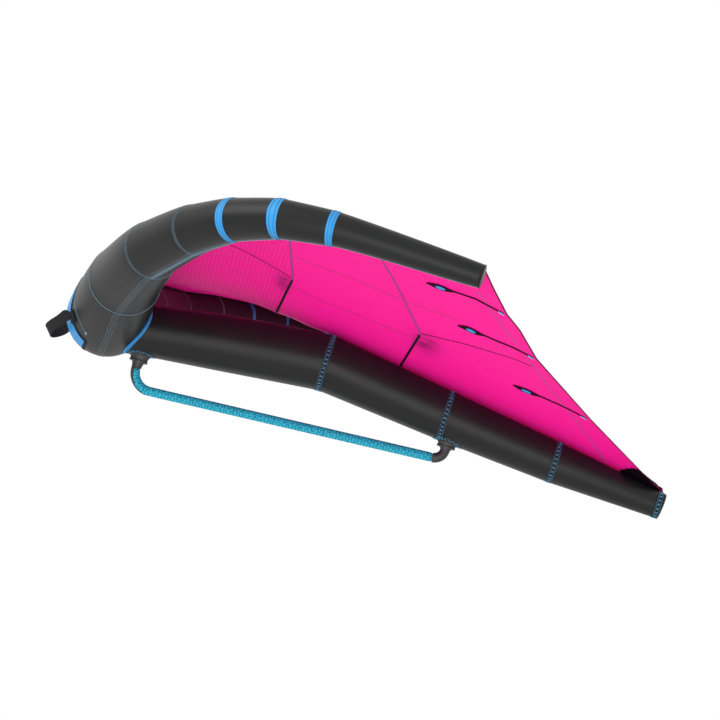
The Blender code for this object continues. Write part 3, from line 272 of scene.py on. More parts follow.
def woven_cloth(name, colour, roughness, threads=1400.0, shade=0.10, gloss=0.2):
    """Tightly woven coated cloth with small changes of colour and faint rubbing.
    It reads the piece's own UV map in metres."""
    cloth, tree, shader = new_finish(name, colour)
    uv = add_node(tree, "ShaderNodeTexCoord").outputs["UV"]

    def threads_along(direction):
        inputs = {"Vector": uv, "Scale": threads * WAVE_BAND, "Distortion": 0.4, "Detail Scale": 2.0}
        return add_node(tree, "ShaderNodeTexWave", inputs, bands_direction=direction).outputs["Fac"]

    def part_of(pattern, share):
        return reckon(tree, "MULTIPLY", pattern, share)

    weave = part_of(threads_along("X"), threads_along("Y"))
    broad, fine = noise_pattern(tree, uv, 3.5, 3.0, 0.6), noise_pattern(tree, uv, 160.0, 4.0, 0.6)
    tone = reckon(tree, "ADD", part_of(broad, 0.65), part_of(fine, 0.35))
    height = reckon(tree, "ADD", part_of(weave, 0.5), part_of(fine, 0.5))
    inputs = {
        "Base Color": mixed_colour(tree, tone, tinted(colour, 1 - shade), tinted(colour, 1 + shade, 0.002)),
        "Normal": bumped(tree, height, 0.22, 0.0004),
        "Roughness": reckon(tree, "ADD", part_of(tone, 0.16), roughness - 0.08),
        "Specular IOR Level": gloss,
    }
    feed(tree, shader, inputs)
    return cloth


def lay_down(name, points, faces, uvs, finish, slot, body="wing", nodes=(), smooth=True):
    """One finished piece: its mesh, UV map in metres, material, body and the nodes it covers. The slot is not
    used.
    """
    mesh = bpy.data.meshes.new(name)
    mesh.from_pydata([tuple(p) for p in points], [], [tuple(int(k) for k in face) for face in faces])
    layer = mesh.uv_layers.new(name="cloth")
    if uvs is not None:
        layer.data.foreach_set("uv", np.asarray(uvs, dtype=np.float32).reshape(-1))
    mesh.materials.append(finish)
    mesh.validate()
    if smooth:
        mesh.shade_smooth()
    piece = bpy.data.objects.new(name, mesh)
    scene.collection.objects.link(piece)
    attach(piece, body)
    if nodes:
        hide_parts(*nodes)
    return piece


def tube_skin(rings, lengths, girths):
    """Points, faces and UVs of a skin round rings of points, open at both ends."""
    count, sides = rings.shape[:2]
    faces, uvs = [], []
    for i in range(count - 1):
        for k in range(sides):
            n = (k + 1) % sides
            faces.append((i * sides + k, i * sides + n, (i + 1) * sides + n, (i + 1) * sides + k))
            low, high = girths[i] / sides, girths[i + 1] / sides
            uvs += [
                (lengths[i], low * k),
                (lengths[i], low * (k + 1)),
                (lengths[i + 1], high * (k + 1)),
                (lengths[i + 1], high * k),
            ]
    return rings.reshape(-1, 3), faces, uvs


def give_wall(piece, thickness, offset=-1.0):
    wall = piece.modifiers.new("wall", "SOLIDIFY")
    wall.thickness = thickness
    wall.offset = offset
    return piece


def pucker(distance, angle, turn):
    """How far the cloth draws in beside a ring seam, at a distance from it and an angle."""
    pinch = SEAM_PINCH * math.exp(-((distance / SEAM_PINCH_REACH) ** 2))
    wave = math.sin(PUCKERS_ROUND * angle + turn) * math.sin(7 * angle + 2.3 * turn)
    return pinch - PUCKER * wave * math.exp(-distance / PUCKER_REACH)


sleeve_finish = woven_cloth("sleeve_cloth_woven", (0.0092, 0.0098, 0.0094), 0.37, shade=0.22, gloss=0.21)


def turns(count):
    """Angles evenly spaced round a circle."""
    return [2 * math.pi * k / count for k in range(count)]


def sleeve_panel(name, start, end, nodes):
    """A panel between two ring seams, drawn in along both of its ends."""
    count = max(int(math.ceil((end - start) / SLEEVE_RING_STEP)), 4)
    rings, lengths, girths = [], [], []
    for i in range(count + 1):
        reach = start + (end - start) * i / count
        middle, _, up, aft = tube_frame(reach)
        radius = tube_radius(reach)
        ring = []
        for angle in turns(SLEEVE_SIDES):
            size = radius - pucker(reach - start, angle, start * 9) - pucker(end - reach, angle, end * 9)
            ring.append(middle + (up * math.cos(angle) + aft * math.sin(angle)) * size)
        rings.append(ring)
        lengths.append(reach)
        girths.append(2 * math.pi * radius)
    points, faces, uvs = tube_skin(np.array(rings), lengths, girths)
    piece = lay_down(name, points, faces, uvs, sleeve_finish, "sleeve_cloth", nodes=nodes)
    return give_wall(piece, SLEEVE_CLOTH)


first_seam = seam_reach(1)
sleeve_panel("nose_panel", -first_seam, first_seam, ["sleeve_centre"])
for panel, inboard, outboard in SLEEVE_PANELS:
    near, far = seam_reach(inboard), seam_reach(outboard)
    sleeve_panel(f"{panel}_panel_right", near, far, [f"sleeve_{panel}_right"])
    sleeve_panel(f"{panel}_panel_left", -far, -near, [f"sleeve_{panel}_left"])

# Tip caps. A round of the same cloth closes each end of the tube, sewn in with a narrow black
# edge that turns over the tube's end.

CAP_SEAM_RADIUS, EDGING_OUT = 0.0016, 0.001
DISH_SIDES, HOOP_STEPS, HOOP_SIDES = 64, 96, 10
CAP_PROFILE = (
    (-0.004, 0.985),
    (0.0005, 1.0),
    (0.0024, 0.985),
    (0.0040, 0.90),
    (0.0046, 0.62),
    (0.0050, 0.3),
    (0.0050, 0.02),
)
tape_colour = (0.0075, 0.0078, 0.0085)
black_tape_finish = woven_cloth("black_edge_tape", tape_colour, 0.6, threads=900.0, shade=0.2, gloss=0.12)


def ring_points(middle, first, second, size, sides):
    """Evenly spaced points round a middle, from the first way towards the second."""
    return [middle + (first * math.cos(a) + second * math.sin(a)) * size for a in turns(sides)]


def with_ends(points, faces, uvs, sides, hubs):
    """A skin closed at both ends by fans of faces round a hub each."""
    points, last_row = list(points), len(points) - sides
    for first, hub_point, turned in ((0, hubs[0], True), (last_row, hubs[1], False)):
        hub = len(points)
        points.append(hub_point)
        for k in range(sides):
            a, b = first + k, first + (k + 1) % sides
            faces.append((hub, b, a) if turned else (hub, a, b))
            uvs += [(0, 0), (0.001, 0), (0, 0.001)]
    return points, faces, uvs


def dish(middle, direction, first, second, profile):
    """Points, faces and UVs of a closed round dish along a profile of depth and radius."""
    sides = DISH_SIDES
    rings = [ring_points(middle + direction * deep, first, second, radius, sides) for deep, radius in profile]
    lengths = [0.0]
    for (d0, r0), (d1, r1) in zip(profile, profile[1:]):
        lengths.append(lengths[-1] + math.hypot(d1 - d0, r1 - r0))
    skin = tube_skin(np.array(rings), lengths, [2 * math.pi * r for _, r in profile])
    return with_ends(*skin, sides, [middle + direction * profile[end][0] for end in (0, -1)])


def round_off(piece, merge=0.0, sharp=None):
    """Merges a piece's doubled points, turns its faces outwards, and keeps edges over an angle crisp."""
    bm = bmesh.new()
    bm.from_mesh(piece.data)
    if merge:
        bmesh.ops.remove_doubles(bm, verts=bm.verts, dist=merge)
    bmesh.ops.recalc_face_normals(bm, faces=bm.faces)
    bm.to_mesh(piece.data)
    bm.free()
    if sharp:
        piece.data.set_sharp_from_angle(angle=math.radians(sharp))
    return piece


def hoop(name, middle, first, second, radius, thick, finish, slot):
    """A rolled edge that runs in a circle."""
    axis = first.cross(second)
    angles = turns(HOOP_STEPS) + [2 * math.pi]
    rings = []
    for angle in angles[:-1]:
        out = first * math.cos(angle) + second * math.sin(angle)
        rings.append(ring_points(middle + out * radius, out, axis, thick, HOOP_SIDES))
    rings.append(rings[0])
    lengths = [radius * angle for angle in angles]
    skin = tube_skin(np.array(rings), lengths, [2 * math.pi * thick] * len(rings))
    return round_off(lay_down(name, *skin, finish, slot), merge=thick * 0.01)


for side_name, side in (("right", 1), ("left", -1)):
    middle, direction, up, aft = tube_frame(TUBE_END * side)
    radius = tube_radius(TUBE_END)
    outward = direction * side
    profile = [(depth, radius * share) for depth, share in CAP_PROFILE]
    skin = dish(middle, outward, up, aft, profile)
    nodes = [f"tip_cap_{side_name}"]
    round_off(lay_down(f"tip_closure_{side_name}", *skin, sleeve_finish, "sleeve_cloth", nodes=nodes))
    edge = middle + outward * EDGING_OUT
    hoop(f"tip_edging_{side_name}", edge, up, aft, radius, CAP_SEAM_RADIUS, black_tape_finish, "sleeve_cloth")

# Strut sleeve. The tube under the middle of the canopy, of the same cloth, sewn from four
# panels. Its front end is cut to the leading edge tube and taped to it.

# Each seam of the strut: aft of the nose's middle, up, and radius.
STRUT_SEAMS = np.array(
    (
        (0.0604, -0.0200, 0.0864),
        (0.1771, -0.0025, 0.0905),
        (0.3863, 0.0290, 0.0988),
        (0.6096, 0.0565, 0.1005),
        (0.7666, 0.0725, 0.0985),
        (1.2132, 0.0220, 0.0870),
        (1.6176, -0.0190, 0.0720),
        (2.0120, -0.0530, 0.0450),
    )
)
STRUT_SOFTENING = 0.022
STRUT_PANELS = (("front", 0, 4), ("middle", 4, 5), ("rear", 5, 6), ("tail", 6, 7))
JOINT_GAP = 0.0008


def strut_reading(x, column):
    """Height or radius of the strut at a distance aft of the nose, its corners softened."""
    spots = (x - STRUT_SOFTENING, x, x, x + STRUT_SOFTENING)
    if x > STRUT_SEAMS[-1, 0] - STRUT_SOFTENING:
        spots = (x,)
    return float(np.mean(np.interp(spots, STRUT_SEAMS[:, 0], STRUT_SEAMS[:, column])))


def strut_spot(x, angle, proud=0.0, drawn=0.0):
    """A point on the strut and the way out of it. The angle runs from the top to the right."""
    radius = strut_reading(x, 2) - drawn
    outward = Vector((0, math.sin(angle), math.cos(angle)))
    spot = Vector((x, 0, strut_reading(x, 1))) + outward * (radius + proud)
    return spot + NOSE_MIDDLE, outward


def off_tube(spot):
    """Distance of a point from the leading edge tube's cloth."""
    reach = spot.y
    for _ in range(3):
        middle, direction, _, _ = tube_frame(reach)
        reach += (spot - middle).dot(direction)
    middle, _, _, _ = tube_frame(reach)
    return (spot - middle).length - tube_radius(reach)


def joint_x(angle):
    """Where the strut's cloth comes out of the leading edge tube, at an angle round it."""
    low, high = STRUT_SEAMS[0, 0], 0.30
    for _ in range(22):
        half = (low + high) / 2
        if off_tube(strut_spot(half, angle)[0]) < JOINT_GAP:
            low = half
        else:
            high = half
    return high


SLEEVE_ANGLES = turns(SLEEVE_SIDES)
JOINT_LINE = [joint_x(angle) for angle in SLEEVE_ANGLES]
for panel, first, last in STRUT_PANELS:
    end = STRUT_SEAMS[last, 0]
    starts = JOINT_LINE if first == 0 else [STRUT_SEAMS[first, 0]] * SLEEVE_SIDES
    count = int(math.ceil((end - min(starts)) / SLEEVE_RING_STEP))
    rings, lengths, girths = [], [], []
    for i in range(count + 1):
        ring = []
        for angle, start in zip(SLEEVE_ANGLES, starts):
            x = start + (end - start) * i / count
            drawn = pucker(end - x, angle, end * 5)
            if first:
                drawn += pucker(x - start, angle, start * 5)
            ring.append(strut_spot(x, angle, drawn=drawn)[0])
        rings.append(ring)
        x = np.mean(starts) + (end - np.mean(starts)) * i / count
        lengths.append(x)
        girths.append(2 * math.pi * strut_reading(x, 2))
    skin = tube_skin(np.array(rings)[::-1], lengths[::-1], girths[::-1])
    nodes = [f"strut_{panel}"]
    piece = lay_down(f"strut_{panel}_panel", *skin, sleeve_finish, "sleeve_cloth", nodes=nodes)
    give_wall(piece, SLEEVE_CLOTH)

STRUT_END_PROFILE = (
    (-0.006, 0.985),
    (0.0008, 1.0),
    (0.003, 0.98),
    (0.0048, 0.88),
    (0.0058, 0.6),
    (0.006, 0.3),
    (0.006, 0.02),
)
end_x, end_up, end_radius = STRUT_SEAMS[-1]
tail_middle = Vector((end_x, 0, end_up)) + NOSE_MIDDLE
tail_slope = Vector((end_x - STRUT_SEAMS[-2, 0], 0, end_up - STRUT_SEAMS[-2, 1])).normalized()
tail_up = tail_slope.cross(Vector((0, -1, 0))).normalized()
profile = [(depth, end_radius * share) for depth, share in STRUT_END_PROFILE]
skin = dish(tail_middle, tail_slope, tail_up, Vector((0, 1, 0)), profile)
round_off(lay_down("strut_end_closure", *skin, sleeve_finish, "sleeve_cloth", nodes=["strut_end_cap"]))

# Air tubes. Bladders of cloudy plastic film, welded airtight, lie inside both sleeves. A short
# moulded tube joins them. All three are hidden inside the cloth.


def closed_loft(rings, lengths=None):
    """Points, faces and UVs of a skin over rings of points, with both ends filled by fans."""
    rings = np.array([[tuple(p) for p in ring] for ring in rings])
    if lengths is None:
        steps = np.linalg.norm(np.diff(rings.mean(axis=1), axis=0), axis=1) + 0.001
        lengths = np.concatenate(([0.0], np.cumsum(steps)))
    girths = [float(np.linalg.norm(np.diff(ring, axis=0), axis=1).sum()) for ring in rings]
    skin = tube_skin(rings, list(lengths), girths)
    return with_ends(*skin, rings.shape[1], [rings[end].mean(axis=0) for end in (0, -1)])


def ranged(tree, pattern, low, high, start=0.0, end=1.0):
    """A pattern's values from start to end, stretched to run from low to high."""
    inputs = {"Value": pattern, "From Min": start, "From Max": end, "To Min": low, "To Max": high}
    return add_node(tree, "ShaderNodeMapRange", inputs).outputs["Result"]


def film(name, colour, roughness):
    """Smooth plastic film with slight cloudiness and fine rubbing."""
    plastic, tree, shader = new_finish(name, colour)
    haze = noise_pattern(tree, add_node(tree, "ShaderNodeTexCoord").outputs["Object"], 14.0, 5.0)
    inputs = {
        "Base Color": mixed_colour(tree, haze, tinted(colour, 0.9), tinted(colour, 1.06)),
        "Normal": bumped(tree, haze, 0.15, 0.0006),
        "Roughness": roughness,
    }
    feed(tree, shader, inputs)
    return plastic


def moulded(name, colour, roughness):
    """Moulded plastic with a fine spark-eroded grain and slightly polished high spots."""
    plastic, tree, shader = new_finish(name, colour)
    place = add_node(tree, "ShaderNodeTexCoord").outputs["Object"]
    grain, wear = noise_pattern(tree, place, 900.0), noise_pattern(tree, place, 35.0, 5.0)
    inputs = {
        "Base Color": mixed_colour(tree, wear, tinted(colour, 0.8), tinted(colour, 1.25, 0.004)),
        "Roughness": ranged(tree, wear, roughness - 0.08, roughness + 0.12),
        "Normal": bumped(tree, grain, 0.3, 0.00012),
    }
    feed(tree, shader, inputs)
    return plastic


bladder_finish = film("bladder_film_cloudy", (0.80, 0.82, 0.78), 0.32)
moulding_finish = moulded("black_moulding", (0.020, 0.020, 0.022), 0.42)
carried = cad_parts["transfer_tube"]
carried.data.materials.clear()
carried.data.materials.append(moulding_finish)

# Each air tube lies just inside its sleeve and is welded into a blunt point at both ends.
BLADDER_INSIDE = 0.0042
END_TAPER = ((0.0, 0.25), (0.004, 0.55), (0.012, 0.80), (0.024, 0.94), (0.040, 1.0))
BLADDER_SIDES = 64
# How far short of the tube's end the film stops.
EDGE_FILM_SHORT = 0.008


def bladder_radius(full, from_end):
    return (full - BLADDER_INSIDE) * float(np.interp(from_end, *zip(*END_TAPER)))


rings, lengths = [], []
edge_half = TUBE_END - EDGE_FILM_SHORT
end_steps = np.linspace(0, END_TAPER[-1][0], 9)


def film_steps(first, last, count):
    """Places along a film tube from end to end, close together at both ends."""
    inner = END_TAPER[-1][0]
    middle_steps = np.linspace(first + inner, last - inner, count)
    return np.concatenate((first + end_steps[:-1], middle_steps, last - end_steps[-2::-1]))


for reach in film_steps(-edge_half, edge_half, 200):
    middle, _, up, aft = tube_frame(reach)
    size = bladder_radius(tube_radius(reach), edge_half - abs(reach))
    rings.append(ring_points(middle, up, aft, size, BLADDER_SIDES))
    lengths.append(reach)
skin, nodes = closed_loft(rings, lengths), ["leading_edge_bladder"]
film_tube = lay_down("leading_edge_bladder_film", *skin, bladder_finish, "bladder_film", nodes=nodes)
# The film is drawn down round the valve, which leaves its flap room to open.
VALVE_REACH, VALVE_ANGLE = 0.262, math.radians(122)
POCKET_WIDE, POCKET_DEPTH = 0.036, 0.018
valve_spot, valve_out = tube_spot(VALVE_REACH, VALVE_ANGLE)
for corner in film_tube.data.vertices:
    away = corner.co - valve_spot
    aside = (away - valve_out * away.dot(valve_out)).length
    if aside < POCKET_WIDE and away.dot(valve_out) > -0.03:
        corner.co -= valve_out * (POCKET_DEPTH * min((POCKET_WIDE - aside) / 0.010, 1.0))
round_off(film_tube)

first_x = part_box("strut_bladder")[0][0] - NOSE_MIDDLE.x
last_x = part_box("strut_bladder")[1][0] - NOSE_MIDDLE.x
rings, lengths = [], []
for x in film_steps(first_x, last_x, 150):
    size = bladder_radius(strut_reading(x, 2), min(x - first_x, last_x - x))
    middle = Vector((x, 0, strut_reading(x, 1))) + NOSE_MIDDLE
    rings.append(ring_points(middle, Vector((0, 0, 1)), Vector((0, 1, 0)), size, BLADDER_SIDES))
    lengths.append(x)
skin = closed_loft(rings, lengths)
round_off(lay_down("strut_bladder_film", *skin, bladder_finish, "bladder_film", nodes=["strut_bladder"]))

# Canopy. One stretched sheet of light ripstop cloth, sewn along the leading edge tube from tip
# to tip and along the strut, and free at its hemmed rear edge. Reinforcing threads run
# spanwise through its front bays.

CANOPY_CLOTH = 0.0007
CANOPY_LIFT = 0.0021
CANOPY_BILLOW = 0.012
SEWN_ANGLES = (math.radians(25), math.radians(34))
HALF_SPAN = 1.238
# The rear edge: aft of the nose and share of the half span.
REAR_EDGE = np.array(
    (
        (2.0060, 0.0000),
        (1.9119, 0.0843),
        (1.6680, 0.3205),
        (1.4281, 0.5745),
        (1.3430, 0.7075),
        (1.2880, 0.7710),
        (1.2211, 0.8870),
        (1.1779, 0.9680),
    )
)
REAR_EDGE_HEIGHT = (-0.006, 0.343)
# Height of the middle of the canopy over the strut at distances aft of the nose.
MIDDLE_LIFT = np.array(
    (
        (0.0596, 0.0631),
        (0.1630, 0.0915),
        (0.2394, 0.0840),
        (0.3199, 0.0732),
        (0.4205, 0.0631),
        (0.5292, 0.0415),
        (0.6096, 0.0270),
        (0.6941, 0.0073),
        (0.7666, 0.0000),
        (2.2000, 0.0000),
    )
)
CANOPY_ROWS = 130
CANOPY_COLUMNS = 119


def sewn_angle(reach):
    """How far round the tube from its top the canopy is sewn to it."""
    return SEWN_ANGLES[0] + (SEWN_ANGLES[1] - SEWN_ANGLES[0]) * (abs(reach) / TUBE_END)


def sewn_spot(reach):
    """Where the canopy is sewn to the leading edge tube."""
    return tube_spot(reach, sewn_angle(reach), 0.0012)[0] - NOSE_MIDDLE


def rear_spot(share):
    """A point of the rear edge at a share of the half span."""
    x = float(np.interp(share, REAR_EDGE[:, 1], REAR_EDGE[:, 0]))
    low, high = REAR_EDGE_HEIGHT
    return Vector((x, HALF_SPAN * share, low + (high - low) * share))


OUTLINE_SHARES = np.linspace(0, 1, 241)
outline = [sewn_spot(TUBE_END * share) for share in OUTLINE_SHARES]
outline += [rear_spot(1 - share) for share in OUTLINE_SHARES]
OUTLINE_X = np.maximum.accumulate(np.array([p.x for p in outline]))
OUTLINE_Y = np.array([p.y for p in outline])
OUTLINE_Z = np.array([p.z for p in outline])


def canopy_height(x, y):
    """Height of the sheet over a point of its plan, measured like the plan from the nose."""
    edge_y = float(np.interp(x, OUTLINE_X, OUTLINE_Y))
    edge_z = float(np.interp(x, OUTLINE_X, OUTLINE_Z))
    share = min(abs(y) / edge_y, 1.0) if edge_y > 0.001 else 1.0
    spots = (x - STRUT_SOFTENING, x, x + STRUT_SOFTENING)
    middle = strut_reading(x, 1) + strut_reading(x, 2) + CANOPY_LIFT
    middle += float(np.mean(np.interp(spots, MIDDLE_LIFT[:, 0], MIDDLE_LIFT[:, 1])))
    swell = CANOPY_BILLOW * math.sin(math.pi * share)
    return middle + (max(edge_z, middle) - middle) * share + swell


def canopy_spot(x, y, proud=0.0):
    """A point on the sheet in the part's own frame, raised or lowered from its middle."""
    ahead = Vector((0.008, 0, canopy_height(x + 0.004, y) - canopy_height(x - 0.004, y)))
    aside = Vector((0, 0.008, canopy_height(x, y + 0.004) - canopy_height(x, y - 0.004)))
    if abs(y) < 0.004:
        aside = Vector((0, 1, 0))
    normal = ahead.cross(aside).normalized()
    return Vector((x, y, canopy_height(x, y))) + NOSE_MIDDLE + normal * proud, normal


# Bays of the canopy, as places on its left half: aft and out from the nose's middle.
FRONT_ROOT, FRONT_CORNER, FRONT_MIDWAY = (0.5507, 0.0), (0.5860, 0.385), (0.556, 0.746)
REAR_ROOT, REAR_CORNER = (1.0140, 0.0), (1.0460, 0.381)
REAR_MIDWAY, REAR_TURN = (0.915, 0.758), (0.874, 0.864)
CORNER_BEND = (0.367, 0.521)


def sewn_plan(seam):
    spot = sewn_spot(seam_reach(seam))
    return (spot.x, spot.y)


FRONT_SEAM = (FRONT_ROOT, FRONT_CORNER, FRONT_MIDWAY, sewn_plan(5.0))
REAR_SEAM = (REAR_ROOT, REAR_CORNER, REAR_MIDWAY, REAR_TURN, sewn_plan(6.2))


def seam_x(seam, y):
    """How far aft a spanwise seam lies at a distance from the middle."""
    outs = [point[1] for point in seam]
    return float(np.interp(abs(y), outs, [point[0] for point in seam]))


def reach_of_columns():
    """Columns of the sheet, closer together near its root and near the tip."""
    shares = np.linspace(0, 1, CANOPY_COLUMNS - 3)
    even = TUBE_END * (shares * 1.12 - 0.12 * shares**2)
    return np.concatenate(((0.0, 0.0030, 0.0065, 0.0105, 0.0150), even[1:]))


def rear_share(front_y, last_y):
    return REAR_EDGE[-1, 1] * front_y / last_y


column_reaches = reach_of_columns()
column_fronts = [sewn_spot(reach) for reach in column_reaches]
plan = np.zeros((CANOPY_ROWS + 1, CANOPY_COLUMNS + 1, 2))
for j, front in enumerate(column_fronts):
    rear = rear_spot(rear_share(front.y, column_fronts[-1].y))
    for i in range(CANOPY_ROWS + 1):
        share = i / CANOPY_ROWS
        plan[i, j] = (front.x + (rear.x - front.x) * share, front.y + (rear.y - front.y) * share)
plan[:, 0, 1] = 0.0


def seam_dip(x, y):
    """The cloth draws down a little along its sewn seams."""
    dip = 0.0
    for seam in (FRONT_SEAM, REAR_SEAM):
        away = abs(x - seam_x(seam, y))
        dip += 0.0014 * math.exp(-((away / 0.016) ** 2))
    return dip


def threads_here(x, y):
    """How strongly the reinforcing threads show: in the two front bays only."""
    ahead = seam_x(FRONT_SEAM, y) - x
    return min(max(ahead / 0.012, 0.0), 1.0)


# The black corner starts here at the root, and further aft away from it.
BLACK_CORNER_X, BLACK_CORNER_SLOPE, BLACK_CORNER_TINT = 1.838, 0.74, 1.6
# Spots of painted shade beside the bars: middle, spread aft and spread out.
PAINTED_SHADE_SPOTS = (((0.556, 0.315), 0.026, 0.075), ((1.072, 0.310), 0.046, 0.085))


def corner_and_shade_at(x, y):
    """Darkness of the cloth: painted shade beside the bars, and the tail's black corner, which is
    real dark cloth."""
    if x > BLACK_CORNER_X + BLACK_CORNER_SLOPE * abs(y):
        return BLACK_CORNER_TINT
    shade = 0.0
    for (sx, sy), broad, long in PAINTED_SHADE_SPOTS:
        away = ((x - sx) / broad) ** 2 + ((abs(y) - sy) / long) ** 2
        shade = max(shade, math.exp(-away))
    return shade


def canopy_sheet():
    points, threads, corner_and_shade_values, row_index = [], [], [], {}
    for side in (-1, 1):
        for i in range(CANOPY_ROWS + 1):
            for j in range(CANOPY_COLUMNS + 1):
                if side > 0 and j == 0:
                    row_index[(side, i, j)] = row_index[(-1, i, 0)]
                    continue
                x, y = plan[i, j]
                spot, normal = canopy_spot(x, y * side)
                row_index[(side, i, j)] = len(points)
                points.append(spot - normal * seam_dip(x, y))
                threads.append(threads_here(x, y))
                corner_and_shade_values.append(corner_and_shade_at(x, y))
    faces = []
    for side in (-1, 1):
        for i in range(CANOPY_ROWS):
            for j in range(CANOPY_COLUMNS):
                corners = ((i, j), (i + 1, j), (i + 1, j + 1), (i, j + 1))
                face = [row_index[(side, a, b)] for a, b in corners]
                faces.append(face if side > 0 else face[::-1])
    uvs = [(points[k].y, points[k].x) for face in faces for k in face]
    return points, faces, uvs, threads, corner_and_shade_values


RIB_PITCH = 0.0135


def canopy_cloth():
    """Bright ripstop: fine weave, reinforcing threads where the threads attribute asks for them."""
    cloth = woven_cloth("canopy_ripstop", (0.93, 0.0100, 0.290), 0.5, threads=1600.0, shade=0.05, gloss=0.05)
    tree, shader = cloth.node_tree, cloth.node_tree.nodes["Principled BSDF"]
    uv = add_node(tree, "ShaderNodeTexCoord").outputs["UV"]
    inputs = {"Vector": uv, "Rotation": (0, 0, math.radians(3))}
    turned_uv = add_node(tree, "ShaderNodeMapping", inputs).outputs[0]
    inputs = {"Vector": turned_uv, "Scale": WAVE_BAND / RIB_PITCH, "Distortion": 0.15}
    ribs = add_node(tree, "ShaderNodeTexWave", inputs, bands_direction="Y").outputs["Fac"]
    readings = [add_node(tree, "ShaderNodeAttribute", attribute_name=title) for title in ("threads", "corner_and_shade")]
    where, corner_and_shade = (reading.outputs["Fac"] for reading in readings)
    shown = reckon(tree, "MULTIPLY", reckon(tree, "POWER", ribs, 2.4), where)
    plain = shader.inputs["Base Color"].links[0].from_socket
    ripstop = mixed_colour(tree, reckon(tree, "MULTIPLY", shown, 0.55), plain, (0.62, 0.012, 0.16, 1))
    # Painted shade beside the bars, and the black corner's own dark cloth, mixed in as streaks.
    drawn_out = add_node(tree, "ShaderNodeMapping", {"Vector": uv, "Scale": (1.9, 0.7, 1)}).outputs[0]
    patchy = ranged(tree, noise_pattern(tree, drawn_out, 26.0, 4.0), 0.25, 0.95, 0.30, 0.62)
    shaded_and_cornered = mixed_colour(tree, reckon(tree, "MULTIPLY", corner_and_shade, patchy), ripstop, (0.20, 0.006, 0.085, 1))
    weave = shader.inputs["Normal"].links[0].from_socket
    feed(tree, shader, {"Base Color": shaded_and_cornered, "Normal": bumped(tree, shown, 0.25, 0.0012, weave)})
    return cloth


canopy_finish = canopy_cloth()
points, faces, uvs, threads, corner_and_shade_values = canopy_sheet()
CANOPY_NODES = ["front", "front_outer", "middle", "middle_outer", "rear", "rear_outer"]
covered = [f"canopy_{bay}_{side_name}" for bay in CANOPY_NODES for side_name in ("left", "right")]
covered += ["trailing_strip_left", "trailing_strip_right"]
canopy = lay_down("canopy", points, faces, uvs, canopy_finish, "canopy_cloth", nodes=covered)
for name, values in (("threads", threads), ("corner_and_shade", corner_and_shade_values)):
    canopy.data.attributes.new(name, "FLOAT", "POINT").data.foreach_set("value", values)
give_wall(canopy, CANOPY_CLOTH, 0.0)

# Canopy seams. Overlapped and taped seams between the bays, a stiffening bar beside the strut
# on each spanwise seam, the hem, and the black tape along the leading edge and strut.

TAPE_STEP = 0.010
EDGE_TAPE_WIDTH, EDGE_TAPE_CLOTH, EDGE_TAPE_BACK = 0.015, 0.0007, 0.0075
UNDERSIDE, TOPSIDE = -1, 1
HALVES = (("left", -1), ("right", 1))
violet_tape_finish = woven_cloth("violet_seam_tape", (0.34, 0.030, 0.23), 0.5, shade=0.15)
faint_tape_finish = woven_cloth("canopy_seam_overlap", (0.66, 0.012, 0.19), 0.45, shade=0.08)
strip_tape_finish = woven_cloth("hem_seam_overlap", (0.60, 0.04, 0.30), 0.45, shade=0.08)
# Pale pink tape along the root: its light colour is a painted highlight.
root_highlight_finish = woven_cloth("root_stripe_painted_highlight", (0.96, 0.11, 0.45), 0.5, shade=0.06)
hem_finish = woven_cloth("black_hem_tape", (0.0065, 0.0030, 0.0058), 0.6, shade=0.2, gloss=0.05)


def along_plan(corners, step):
    """Evenly spaced plan points along a line of corners, the corners kept."""
    out = [Vector(corners[0])]
    for a, b in zip(corners, corners[1:]):
        a, b = Vector(a), Vector(b)
        runs = max(int(math.ceil((b - a).length / step)), 1)
        out += [a.lerp(b, k / runs) for k in range(1, runs + 1)]
    return out


def tape_section(path, width, thickness):
    """Points, faces and UVs of a thin closed strip along a path of points with their upward ways."""
    rows, lengths, length = [], [], 0.0
    for k, (spot, up) in enumerate(path):
        before, after = path[max(k - 1, 0)][0], path[min(k + 1, len(path) - 1)][0]
        across = up.cross(after - before).normalized()
        half = across * (width / 2)
        low, high = spot - up * (thickness / 2), spot + up * (thickness / 2)
        if k:
            length += (spot - path[k - 1][0]).length
        lengths.append(length)
        rows.append([low - half, low + half, high + half * 0.97, high - half * 0.97])
    points, faces, uvs = tube_skin(np.array(rows), lengths, [2 * width] * len(rows))
    last = (len(rows) - 1) * 4
    faces += [(3, 2, 1, 0), (last, last + 1, last + 2, last + 3)]
    uvs += [(0, 0), (0.001, 0), (0.001, 0.001), (0, 0.001)] * 2
    return points, faces, uvs


def flat_strip(name, path, width, thickness, finish, slot="canopy_cloth", nodes=()):
    """A strip of cloth laid along a path, its long edges left crisp."""
    skin = tape_section(path, width, thickness)
    return round_off(lay_down(name, *skin, finish, slot, nodes=nodes, smooth=False))


def side_title(name, half_name, face):
    return f"{name}_{half_name}" + ("" if face == UNDERSIDE else "_top")


def canopy_tape(name, corners, width, thickness, finish, faces_shown=(UNDERSIDE, TOPSIDE)):
    """A strip sewn to the sheet on both halves."""
    made = []
    for half_name, half in HALVES:
        for face in faces_shown:
            raised = face * (CANOPY_CLOTH / 2 + thickness / 2 + 0.00008)
            path = []
            for point in along_plan(corners, TAPE_STEP):
                y = max(point.y, 0.0) * half
                spot, normal = canopy_spot(point.x, y, raised)
                path.append((spot - normal * seam_dip(point.x, y), normal))
            made.append(flat_strip(side_title(name, half_name, face), path, width, thickness, finish))
    return made


HEM = [(rear_spot(share).x - 0.0027, rear_spot(share).y) for share in np.linspace(0, REAR_EDGE[-1, 1], 60)]
STRIP_SEAM = ((1.174, 0.990), (1.430, 0.605), (1.788, 0.006))
FAINT_SEAMS = {
    "outer_lap": ((0.579, 0.600), (0.958, 0.609), (1.146, 0.648)),
    "inner_lap": ((0.597, 0.300), (0.737, 0.282), (1.027, 0.311)),
}
